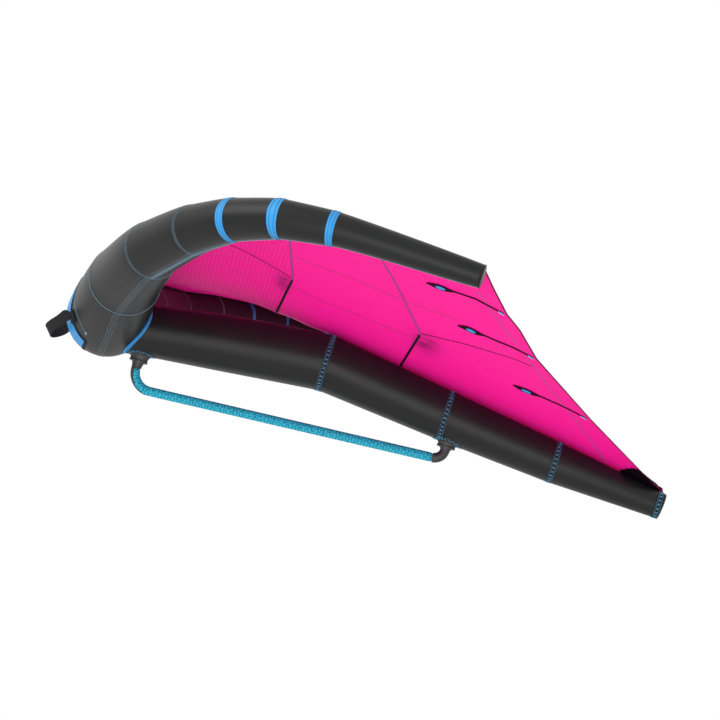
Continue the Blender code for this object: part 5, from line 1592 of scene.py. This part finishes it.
grip_finish = grip_foam()
GRIP_END = 0.0035
grip_path = front_arc[1:] + straight + [(rear_arc[0][0] - boom_along * 0.0004, boom_along)]
grip_total = sum((b[0] - a[0]).length for a, b in zip(grip_path, grip_path[1:]))


def grip_radius(length):
    """Full all along, and rounded in at both ends."""
    near = min(length, grip_total - length)
    share = min(near / GRIP_END, 1.0)
    return BOOM_RADIUS + 0.0004 + GRIP_THICKNESS * math.sqrt(max(1 - (1 - share) ** 2, 0.0))


rings, lengths = round_skin(grip_path, grip_radius)
inner, _ = round_skin(grip_path, lambda length: BOOM_RADIUS + 0.0002)
shell = np.array([[tuple(p) for p in ring] for ring in rings + inner[::-1] + rings[:1]])
steps = lengths + [2 * lengths[-1] - k + 0.002 for k in lengths[::-1]] + [-0.002]
skin = tube_skin(shell, steps, [0.0975] * len(shell))
grip = lay_down("boom_grip_foam", *skin, grip_finish, "grip_foam", nodes=["boom_grip"])
round_off(grip, merge=0.00005)


def level_ring(x, long, wide, height):
    """An oval of points that lies level below the strut."""
    x += NOSE_MIDDLE.x
    return [Vector((x - long * math.cos(a), wide * math.sin(a), height)) for a in turns(BOOM_SIDES)]


def fitting_rings(centre_x, seat, flare):
    """A flange with eased edges under a foot, and below it a bell drawn in to the round neck."""
    top = seat - FITTING_GAP
    levels = [
        (down, FOOT_LENGTH * size, FOOT_WIDTH * size)
        for down, size in ((0.0, 0.3), (0.0, 0.93), (0.0007, 0.955), (0.0053, 0.955), (0.0060, 0.93))
    ]
    for k in range(13):
        curve = (1 - k / 12) ** 1.5
        levels.append((0.0060 + flare * k / 12, NECK_RADIUS + 0.0052 * curve, NECK_RADIUS + 0.0022 * curve))
    return [level_ring(centre_x, long, wide, top - down) for down, long, wide in levels]


# The front fitting's socket takes the tube's end and stands a little wider than the grip.
rings = fitting_rings(BOOM_FRONT_X, SEATS["front"], 0.0200)
lip = front_arc[0][0].z
socket = ((0.004, NECK_RADIUS), (0.0012, NECK_RADIUS), (0.0, NECK_RADIUS * 0.95), (0.0, BOOM_RADIUS * 0.9))
rings += [level_ring(BOOM_FRONT_X, size, size, lip + rise) for rise, size in socket]
fittings = {"front": closed_loft(rings)}

# The rear fitting is an elbow: its neck turns with the tube and ends in a thin lip on the grip.
rings = fitting_rings(BOOM_REAR_X, SEATS["rear"], 0.0115)
elbow, _ = round_skin(rear_arc[::-1], lambda length: NECK_RADIUS)
lip_spot, lip_way = rear_arc[0]
for size in (0.96, 0.8):
    edge, _ = round_skin([(lip_spot, -lip_way), (lip_spot, -lip_way)], lambda length: NECK_RADIUS * size)
    elbow.append(edge[0])
rings += elbow
fittings["rear"] = closed_loft(rings)
for end_name, skin in fittings.items():
    title, nodes = f"boom_{end_name}_fitting_moulding", [f"boom_{end_name}_fitting"]
    round_off(lay_down(title, *skin, moulding_finish, "black_plastic", nodes=nodes))

# The fitting's tongue covers the outside of the grip's front bend and narrows to a point.
STRIP_REACH = 26
rings, lengths, length = [], [], 0.0
for k, (spot, way) in enumerate(front_arc[:STRIP_REACH]):
    share = k / (STRIP_REACH - 1)
    spread = math.radians(74 * (1 - share) ** 0.8 + 4)
    first = Vector((0, 1, 0)).cross(way).normalized()
    ring = []
    for size, shares in ((0.0012, np.linspace(-1, 1, 17)), (0.0001, np.linspace(1, -1, 17))):
        for turn_share in shares:
            a = spread * turn_share
            out = first * math.cos(a) + Vector((0, 1, 0)) * math.sin(a)
            ring.append(spot + out * (BOOM_RADIUS + GRIP_THICKNESS + 0.0004 + size))
    length += (spot - front_arc[max(k - 1, 0)][0]).length
    rings.append(ring)
    lengths.append(length)
skin = closed_loft(rings, lengths)
round_off(lay_down("grip_binding", *skin, moulding_finish, "black_plastic", smooth=False))

# Boom screws. Four stainless button-head screws with six-sided sockets hold the fittings up
# against the feet.

HEAD_RADIUS, HEAD_DEPTH, SOCKET_RADIUS, SHANK_RADIUS = 0.005, 0.0028, 0.0018, 0.003


def steel(name, colour, roughness):
    """Brushed stainless steel with fine handling scratches."""
    metal, tree, shader = new_finish(name, colour)
    scratch = noise_pattern(tree, add_node(tree, "ShaderNodeTexCoord").outputs["Object"], 420.0, 4.0)
    inputs = {
        "Base Color": mixed_colour(tree, scratch, tinted(colour, 0.85), tinted(colour, 1.0)),
        "Roughness": ranged(tree, scratch, roughness - 0.08, roughness + 0.14),
        "Metallic": 1.0,
    }
    feed(tree, shader, inputs)
    return metal


steel_finish = steel("stainless_steel", (0.62, 0.62, 0.64), 0.28)
for end_name, centre_x in FEET.items():
    for number, sign in ((1, -1), (2, 1)):
        face = SEATS[end_name] - FLANGE_DEPTH - FITTING_GAP
        spot_x = centre_x + sign * SCREW_ASIDE + NOSE_MIDDLE.x
        levels = (
            (face + 0.012, SHANK_RADIUS * 0.6, 24),
            (face + 0.011, SHANK_RADIUS, 24),
            (face, SHANK_RADIUS, 24),
            (face, HEAD_RADIUS, 24),
            (face - 0.0008, HEAD_RADIUS, 24),
            (face - 0.0018, HEAD_RADIUS * 0.86, 24),
            (face - HEAD_DEPTH, HEAD_RADIUS * 0.56, 24),
            (face - HEAD_DEPTH, SOCKET_RADIUS, 6),
            (face - 0.0011, SOCKET_RADIUS, 6),
        )
        rings = []
        for height, size, corners in levels:
            ring = []
            for a in turns(24):
                flat = 1.0
                if corners == 6:
                    within = (a + math.pi / 6) % (math.pi / 3) - math.pi / 6
                    flat = math.cos(math.pi / 6) / math.cos(within)
                ring.append(Vector((spot_x + size * flat * math.cos(a), size * flat * math.sin(a), height)))
            rings.append(ring)
        title, nodes = f"{end_name}_screw_{number}_steel", [f"boom_{end_name}_screw_{number}"]
        screw = lay_down(title, *closed_loft(rings), steel_finish, "screw_steel", nodes=nodes)
        round_off(screw, sharp=32)

# Nose patch. Two layers of cloth glued and sewn round the front of the nose, with a black
# bound edge, spread the handle's pull over the sleeve.

PATCH_ANGLES = (math.radians(198), math.radians(287))
PATCH_CLOTH = 0.0009
# Half length of the patch at shares of the way round from its lower to its upper edge.
PATCH_HALVES = ((0.0, 0.070), (0.31, 0.0885), (0.52, 0.099), (0.66, 0.122), (0.80, 0.150), (1.0, 0.172))


def patch_outline(share):
    """Half length of the patch, which widens towards its upper edge."""
    return float(np.interp(share, [row[0] for row in PATCH_HALVES], [row[1] for row in PATCH_HALVES]))


def patch_surface(share, across, proud):
    angle = PATCH_ANGLES[0] + (PATCH_ANGLES[1] - PATCH_ANGLES[0]) * share
    return tube_spot(patch_outline(share) * across, angle, proud)


across_steps, round_steps = 60, 40
points, faces = [], []
for proud in (0.0003 + PATCH_CLOTH, 0.0002):
    for i in range(round_steps + 1):
        for j in range(across_steps + 1):
            points.append(patch_surface(i / round_steps, 2 * j / across_steps - 1, proud)[0])
columns, layer = across_steps + 1, (across_steps + 1) * (round_steps + 1)
for i in range(round_steps):
    for j in range(across_steps):
        a, b = i * columns + j, (i + 1) * columns + j
        faces.append((a, a + 1, b + 1, b))
        faces.append((layer + a, layer + b, layer + b + 1, layer + a + 1))
rim = list(range(across_steps)) + [i * columns + across_steps for i in range(round_steps)]
rim += [layer - 1 - j for j in range(across_steps)]
rim += [(round_steps - i) * columns for i in range(round_steps)]
faces += [(a, b, layer + b, layer + a) for a, b in zip(rim, rim[1:] + rim[:1])]
uvs = [((points[k] - NOSE_MIDDLE).y, (points[k] - NOSE_MIDDLE).z) for face in faces for k in face]
patch = lay_down("nose_patch_cloth", points, faces, uvs, blue_finish, "blue_cloth", nodes=["nose_patch"])
round_off(patch, sharp=50)

edge_places = [(0.0, -1 + 2 * k / 60) for k in range(60)] + [(k / 40, 1.0) for k in range(40)]
edge_places += [(1.0, 1 - 2 * k / 60) for k in range(60)] + [(1 - k / 40, -1.0) for k in range(41)]
spots = [patch_surface(share * 0.985 + 0.0075, across * 0.975, 0.0018) for share, across in edge_places]
flat_strip("nose_patch_binding", spots, 0.0100, 0.0008, black_tape_finish, "black_webbing")
inset = [patch_surface(share * 0.93 + 0.035, across * 0.945, 0.0014) for share, across in edge_places]
sew("nose_patch_stitches", [inset], navy_thread, "blue_cloth", 0.0055, 0.0042, 0.0005)
# Rows of stitching outside the patch hold the sleeve's inner lining, each ending in a bar tack.
LINING_ANGLES, LINING_REACHES = (205, 220, 242, 262), (0.115, 0.135, 0.1456, 0.158)
TACK_ANGLE, TACK_REACH = math.radians(204), (0.108, 0.124)
lining_rows, tack_rows = [], []
for half in (-1, 1):
    for aside in (0.0, 0.006):
        row = []
        for angle in np.linspace(LINING_ANGLES[0], LINING_ANGLES[-1], 61):
            reach = float(np.interp(angle, LINING_ANGLES, LINING_REACHES))
            row.append(tube_spot(half * (reach + aside), math.radians(float(angle)), 0.0006))
        lining_rows.append(row)
    for aside in (-0.003, 0.0, 0.003):
        angle = TACK_ANGLE + aside * 7
        tack_rows.append([tube_spot(half * reach, angle, 0.0008) for reach in np.linspace(*TACK_REACH, 9)])
sew("lining_stitches", lining_rows, grey_thread, "sleeve_cloth", 0.0055, 0.0046, 0.0006)
sew("bar_tack_stitches", tack_rows, grey_thread, "sleeve_cloth", 0.0022, 0.0034, 0.0006, math.radians(70))

# Nose handle. A loop of flat nylon webbing in front of the nose. Its two ends are sewn down
# beside the patch under webbing tabs, and it swings up and down about them.

HANDLE_SPREAD, HANDLE_DEPTH, HANDLE_WIDTH, HANDLE_STRAP = 0.100, 0.072, 0.040, 0.0034
HANDLE_ROUND = 0.86
HANDLE_ANGLE, HANDLE_DROOP = math.radians(242), math.radians(42)
HANDLE_SEAT = 0.0038
HANDLE_ENDS = (
    (0.97, 0.243),
    (0.93, 0.37),
    (0.86, 0.51),
    (0.75, 0.66),
    (0.6, 0.8),
    (0.4, 0.92),
    (0.15, 0.989),
    (0.0, 1.0),
)
# Corners of one half of the webbing's section, by shares of its half width and half thickness.
STRAP_SECTION = ((1, 0), (0.985, 0.7), (0.93, 1), (0.5, 1), (0, 1), (-0.5, 1), (-0.93, 1), (-0.985, 0.7))


def webbing(name, colour):
    """Heavy herringbone webbing, matt, with a slightly fuzzy face."""
    strap = woven_cloth(name, colour, 0.78, threads=420.0, shade=0.3, gloss=0.12)
    for node in strap.node_tree.nodes:
        if node.type == "BUMP":
            node.inputs["Strength"].default_value = 0.6
            node.inputs["Distance"].default_value = 0.0006
    return strap


webbing_finish = webbing("black_webbing_herringbone", (0.0165, 0.0165, 0.0170))
hinge_spot, _ = tube_spot(HANDLE_SPREAD, HANDLE_ANGLE, HANDLE_SEAT + HANDLE_WIDTH / 2)
hinge = Vector((hinge_spot.x, 0, hinge_spot.z))
HANDLE_SAG = Vector((0.003, 0, -0.008))
out_way = Vector((-math.cos(HANDLE_DROOP), 0, -math.sin(HANDLE_DROOP)))
wide_way = Vector((math.sin(HANDLE_DROOP), 0, -math.cos(HANDLE_DROOP)))
side_way = Vector((0, 1, 0))
half_wide = HANDLE_WIDTH / 2
places = [(HANDLE_SPREAD, -half_wide * back, half_wide * wide, 0.0) for back, wide in HANDLE_ENDS]
for k in range(1, 36):
    # The loop bows out in front like a flattened half circle.
    a = math.pi * k / 36
    y = HANDLE_SPREAD * math.copysign(abs(math.cos(a)) ** HANDLE_ROUND, math.cos(a))
    reach = HANDLE_DEPTH * math.sin(a) ** HANDLE_ROUND
    slope_y = HANDLE_SPREAD * math.sin(a) * max(abs(math.cos(a)), 0.02) ** (HANDLE_ROUND - 1)
    slope_reach = HANDLE_DEPTH * math.cos(a) * math.sin(a) ** (HANDLE_ROUND - 1)
    places.append((y, reach, half_wide, math.atan2(slope_y, slope_reach)))
places += [(-HANDLE_SPREAD, -half_wide * back, half_wide * wide, math.pi) for back, wide in HANDLE_ENDS[::-1]]
rings, stitch_sides = [], ([], [])
for y, reach, width, a in places:
    # The webbing sags a little below its ends.
    sag = HANDLE_SAG * math.sin(math.pi / 2 * min(max(reach, 0.0) / 0.035, 1.0))
    middle = hinge + side_way * y + out_way * reach + sag
    thick = (side_way * math.cos(a) + out_way * math.sin(a)) * (HANDLE_STRAP / 2)
    section = [(sign * along, sign * deep) for sign in (1, -1) for along, deep in STRAP_SECTION]
    rings.append([middle + wide_way * (along * width) + thick * deep for along, deep in section])
    for line, side in zip(stitch_sides, (0.82, -0.82)):
        if width > half_wide * 0.9 and reach > 0.014:
            line.append((middle + wide_way * (side * width) + thick * 1.06, thick.normalized()))
skin, nodes = closed_loft(rings), ["nose_handle"]
handle = lay_down("nose_handle_webbing", *skin, webbing_finish, "black_webbing", "handle", nodes)
round_off(handle, sharp=60)
sizes = (0.0048, 0.0036, 0.00045)
sew("nose_handle_stitches", list(stitch_sides), black_thread, "black_webbing", *sizes, body="handle")

# Each end's tab: webbing laid on the nose, with a sewn box and cross.
TAB_FROM, TAB_TO, TAB_ANGLE = 0.0780, 0.1190, math.radians(238)
for half_name, half in (("left", -1), ("right", 1)):
    spots = [tube_spot(half * reach, TAB_ANGLE, 0.0019) for reach in np.linspace(TAB_FROM, TAB_TO, 12)]
    flat_strip(f"handle_tab_{half_name}", spots, HANDLE_WIDTH, 0.0016, webbing_finish, "black_webbing")
    turn_half = 0.4 * HANDLE_WIDTH / tube_radius(TAB_FROM)
    box_from, box_to = TAB_FROM + 0.005, TAB_TO - 0.004
    box = ((box_from, -1), (box_to, -1), (box_to, 1), (box_from, 1), (box_from, -1))
    cross = (box[0], box[2]), (box[1], box[3])
    rows = []
    for corners in (box, *cross):
        row = []
        for (r0, a0), (r1, a1) in zip(corners, corners[1:]):
            for k in range(12):
                angle = TAB_ANGLE + (a0 + (a1 - a0) * k / 12) * turn_half
                row.append(tube_spot(half * (r0 + (r1 - r0) * k / 12), angle, 0.0028))
        rows.append(row)
    sew(f"handle_tab_{half_name}_stitches", rows, black_thread, "black_webbing", 0.0040, 0.0032, 0.00045)

# Inflation valve. A moulded base welded into the air tube behind the nose, a turning insert
# with a knurled rim and a one-way flap, and a plug cap on its own strap.

NECK_OUT, NECK_IN, BASE_OUT = 0.0245, 0.0185, 0.031
BASE_LOW, BASE_HIGH = -0.0125, 0.0105
RIM_OUT, RIM_DEPTH, INSERT_IN, INSERT_LONG = 0.0235, 0.0025, 0.0125, 0.014
CAP_OUT, CAP_TALL, PLUG_LONG = 0.0265, 0.0042, 0.003
ARM_REACH, ARM_WIDTH, ARM_DEPTH = 0.033, 0.010, 0.0022
VALVE_GAP = 0.0003
VALVE_SIDES = 72

tube_way = tube_frame(VALVE_REACH)[1]
valve_first = (tube_way - valve_out * tube_way.dot(valve_out)).normalized()
valve_second = valve_out.cross(valve_first)


def turned(profile, closed_ring, sides=VALVE_SIDES, knurl=None):
    """Points, faces and UVs of a profile of radius and height turned about the valve's axis."""
    rings = []
    for radius, height in profile:
        ring = []
        for a in turns(sides):
            size = radius
            if knurl and radius >= knurl[0]:
                size -= knurl[1] * (0.5 + 0.5 * math.cos(a * knurl[2]))
            way = valve_first * math.cos(a) + valve_second * math.sin(a)
            ring.append(tuple(valve_spot + way * size + valve_out * height))
        rings.append(ring)
    if not closed_ring:
        return closed_loft(rings)
    rings.append(rings[0])
    lengths = [0.0]
    for (r0, h0), (r1, h1) in zip(profile, list(profile[1:]) + [profile[0]]):
        lengths.append(lengths[-1] + math.hypot(r1 - r0, h1 - h0))
    return tube_skin(np.array(rings), lengths, [2 * math.pi * profile[0][0]] * len(rings))


valve_finish = moulded("valve_moulding", (0.024, 0.024, 0.026), 0.36)
base_profile = (
    (BASE_OUT, BASE_LOW + 0.0004),
    (BASE_OUT, BASE_LOW + 0.0014),
    (BASE_OUT - 0.0006, BASE_LOW + 0.0018),
    (NECK_OUT + 0.0010, BASE_LOW + 0.0018),
    (NECK_OUT, BASE_LOW + 0.0030),
    (NECK_OUT, BASE_HIGH - 0.0008),
    (NECK_OUT - 0.0008, BASE_HIGH),
    (NECK_IN + 0.0004, BASE_HIGH),
    (NECK_IN, BASE_HIGH - 0.0004),
    (NECK_IN, BASE_LOW),
    (BASE_OUT - 0.0006, BASE_LOW),
)
skin = turned(base_profile, True)
base = lay_down("valve_base_moulding", *skin, valve_finish, "black_plastic", nodes=["valve_base"])
round_off(base, merge=0.00002, sharp=40)
collar_profile = (
    (NECK_OUT + 0.011, 0.0006),
    (NECK_OUT + 0.0105, 0.0022),
    (NECK_OUT + 0.0006, 0.0030),
    (NECK_OUT + 0.0006, -0.0006),
)
valve_collar = lay_down("valve_collar_cloth", *turned(collar_profile, True), blue_finish, "blue_cloth")
round_off(valve_collar, merge=0.00002, sharp=50)

seat = BASE_HIGH + VALVE_GAP
insert_profile = (
    (NECK_IN - VALVE_GAP, seat + RIM_DEPTH - INSERT_LONG + 0.0005),
    (NECK_IN - VALVE_GAP, seat),
    (RIM_OUT - 0.0004, seat),
    (RIM_OUT, seat + 0.0004),
    (RIM_OUT, seat + RIM_DEPTH - 0.0005),
    (RIM_OUT - 0.0005, seat + RIM_DEPTH),
    (INSERT_IN + 0.0005, seat + RIM_DEPTH),
    (INSERT_IN, seat + RIM_DEPTH - 0.0005),
    (INSERT_IN, seat + RIM_DEPTH - INSERT_LONG),
    (NECK_IN - VALVE_GAP - 0.0005, seat + RIM_DEPTH - INSERT_LONG),
)
skin, nodes = turned(insert_profile, True, 144, (RIM_OUT - 0.0005, 0.0006, 36)), ["valve_insert"]
insert = lay_down("valve_insert_moulding", *skin, valve_finish, "black_plastic", "valve_insert", nodes)
round_off(insert, merge=0.00002, sharp=45)


def strap_mesh(low, high, near, far):
    """A flat strap that runs out from the valve, with a rounded far end and eased edges."""
    rings = []
    for reach in np.linspace(near, far, 11):
        wide, left = ARM_WIDTH / 2, far - reach
        if left <= ARM_WIDTH / 2:
            wide = math.sqrt(max(wide**2 - (wide - left) ** 2, 1e-8))
        ring = []
        for a, b in zip((-1, -0.9, 0.9, 1, 1, 0.9, -0.9, -1), (0.15, 0.0, 0.0, 0.15, 0.85, 1.0, 1.0, 0.85)):
            spot = valve_spot - valve_first * reach + valve_second * (a * wide)
            ring.append(tuple(spot + valve_out * (low + (high - low) * b)))
        rings.append(ring)
    return closed_loft(rings)


skin = strap_mesh(seat + VALVE_GAP, seat + RIM_DEPTH, RIM_OUT - 0.002, ARM_REACH + 0.003)
round_off(lay_down("valve_insert_lug", *skin, valve_finish, "black_plastic", "valve_insert"))

flap_low = seat + RIM_DEPTH - INSERT_LONG - VALVE_GAP
flap_profile = (
    (0.0150, flap_low - 0.0013),
    (0.0152, flap_low - 0.0007),
    (0.0150, flap_low),
    (0.010, flap_low),
    (0.004, flap_low),
)
flap_finish = film("flap_silicone", (0.72, 0.74, 0.72), 0.4)
skin, nodes = turned(flap_profile, False), ["valve_flap"]
round_off(lay_down("valve_flap_disc", *skin, flap_finish, "bladder_film", "valve_flap", nodes))

cap_seat = seat + RIM_DEPTH + VALVE_GAP
plug = INSERT_IN - VALVE_GAP
cap_profile = (
    (plug - 0.0006, cap_seat - PLUG_LONG),
    (plug, cap_seat - PLUG_LONG + 0.0006),
    (plug, cap_seat),
    (CAP_OUT - 0.0004, cap_seat),
    (CAP_OUT, cap_seat + 0.0004),
    (CAP_OUT, cap_seat + CAP_TALL * 0.48),
    (CAP_OUT * 0.965, cap_seat + CAP_TALL * 0.78),
    (CAP_OUT * 0.88, cap_seat + CAP_TALL * 0.97),
    (CAP_OUT * 0.80, cap_seat + CAP_TALL),
    (CAP_OUT * 0.76, cap_seat + CAP_TALL * 0.86),
    (CAP_OUT * 0.40, cap_seat + CAP_TALL * 0.84),
    (CAP_OUT * 0.10, cap_seat + CAP_TALL * 0.84),
)
skin, nodes = turned(cap_profile, False, 144, (CAP_OUT - 0.0003, 0.0007, 48)), ["valve_cap"]
cap = lay_down("valve_cap_moulding", *skin, valve_finish, "black_plastic", "valve_cap", nodes)
round_off(cap, sharp=38)
strap_low = BASE_HIGH + VALVE_GAP * 2 + RIM_DEPTH
skin = strap_mesh(strap_low, strap_low + ARM_DEPTH, CAP_OUT * 0.9, ARM_REACH)
round_off(lay_down("valve_cap_strap", *skin, valve_finish, "black_plastic", "valve_cap"))

# Strut zip. A coil zip on a woven tape, sewn along the strut's far side, through which the air
# tube goes in. Its metal slider runs along it.

ZIP_LONG, ZIP_WIDE, ZIP_DEPTH = 0.390, 0.024, 0.0012
TOOTH_PITCH, TOOTH_LONG = 0.0030, 0.0052
zip_x = STRUT_SEAMS[4, 0] + (STRUT_SEAMS[5, 0] - STRUT_SEAMS[4, 0]) * 0.06


def strut_plain(x):
    """Height and radius of the strut along the straight run that carries the zip."""
    run = STRUT_SEAMS[4:6]
    return float(np.interp(x, run[:, 0], run[:, 1])), float(np.interp(x, run[:, 0], run[:, 2]))


height, radius = strut_plain(zip_x)
zip_start = Vector((zip_x, radius, height)) + NOSE_MIDDLE
zip_last = Vector((STRUT_SEAMS[5, 0], STRUT_SEAMS[5, 2], STRUT_SEAMS[5, 1])) + NOSE_MIDDLE
zip_way = (zip_last - zip_start).normalized()
zip_out = (Vector((0, 1, 0)) - zip_way * zip_way.y).normalized()
zip_wide = zip_way.cross(zip_out)


def zip_spot(along, aside, proud):
    return zip_start + zip_way * along + zip_wide * aside + zip_out * (proud + VALVE_GAP)


rings = []
for k in range(40):
    along = ZIP_LONG * k / 39
    ring = []
    for aside, up in zip(
        (-1, -0.6, 0, 0.6, 1, 1, 0.5, 0.24, 0.22, -0.22, -0.24, -0.5, -1),
        (0.1, 0.0, 0.0, 0.0, 0.1, 0.7, 0.85, 0.85, 0.4, 0.4, 0.85, 0.85, 0.7),
    ):
        sink = 0.0006 * aside * aside
        ring.append(tuple(zip_spot(along, aside * ZIP_WIDE / 2, up * ZIP_DEPTH - sink)))
    rings.append(ring)
zip_finish = webbing("zip_tape_cloth", (0.024, 0.024, 0.026))
skin = closed_loft(rings)
round_off(lay_down("strut_zip_tape", *skin, zip_finish, "black_webbing", nodes=["strut_zip"], smooth=False))

# The coil's teeth, one at every pitch along the zip.
coil_path = [(zip_spot(ZIP_LONG * k / 30, 0.0, ZIP_DEPTH * 0.75), zip_out) for k in range(31)]
coil_sizes = {"Pitch": TOOTH_PITCH, "Tooth width": TOOTH_LONG, "Tooth depth": 0.0011}
coil_shape = (("Tooth depth", 1.0), ("Tooth width", 1.0), ("Pitch", 0.7))
coil_tree = bead_tree("zip_teeth", moulding_finish, coil_sizes, coil_shape)
lay_beads("strut_zip_coil", [coil_path], coil_tree, coil_sizes, moulding_finish)
zip_rows = []
for aside in (-0.8, 0.8):
    row = [zip_spot(ZIP_LONG * k / 40, aside * ZIP_WIDE / 2, ZIP_DEPTH) for k in range(41)]
    zip_rows.append([(spot, zip_out) for spot in row])
sew("strut_zip_stitches", zip_rows, grey_thread, "black_webbing", 0.0045, 0.0034, 0.0004)

SLIDER_LONG, SLIDER_WIDE, SLIDER_TALL = 0.014, 0.010, 0.0052
PULL_LONG, PULL_WIDE, PULL_DEPTH = 0.024, 0.0065, 0.0016
slider_at = SLIDER_LONG / 2
rings = []
for along, wide, low, high in (
    (0.0, 0.62, 0.35, 0.70),
    (0.03, 0.70, 0.22, 0.85),
    (0.12, 0.86, 0.12, 0.96),
    (0.30, 1.0, 0.06, 1.0),
    (0.55, 0.96, 0.06, 1.0),
    (0.80, 0.82, 0.10, 0.97),
    (0.95, 0.68, 0.20, 0.86),
    (1.0, 0.60, 0.34, 0.72),
):
    ring = []
    for a in turns(20):
        square = 1 / max(abs(math.cos(a)), abs(math.sin(a))) ** 0.55
        aside = math.cos(a) * square * wide * SLIDER_WIDE / 2 * 0.88
        mid, half = (low + high) / 2, (high - low) / 2
        up = (mid + half * math.sin(a) * square * 0.86) * SLIDER_TALL + ZIP_DEPTH + 0.0006
        ring.append(tuple(zip_spot(slider_at + along * SLIDER_LONG, aside, up)))
    rings.append(ring)
skin, nodes = closed_loft(rings), ["zip_slider"]
round_off(lay_down("zip_slider_body", *skin, steel_finish, "screw_steel", "zip_slider", nodes))
PULL_START = slider_at + SLIDER_LONG * 0.46
rings = []
pull_widths = zip((0.0, 0.02, 0.08, 0.3, 0.5, 0.8, 0.94, 1.0), (0.3, 0.6, 0.85, 0.8, 0.72, 0.95, 0.85, 0.45))
for along, wide in pull_widths:
    ring = []
    for aside, up in ((-1, 0.3), (-0.85, 0), (0.85, 0), (1, 0.3), (1, 0.7), (0.85, 1), (-0.85, 1), (-1, 0.7)):
        height = ZIP_DEPTH + 0.0010 + SLIDER_TALL * 0.5 + up * PULL_DEPTH
        reach = PULL_START + along * (PULL_LONG + 0.007)
        ring.append(tuple(zip_spot(reach, aside * wide * PULL_WIDE / 2, height)))
    rings.append(ring)
pull = lay_down("zip_slider_pull", *closed_loft(rings), steel_finish, "screw_steel", "zip_slider")
round_off(pull, sharp=50)
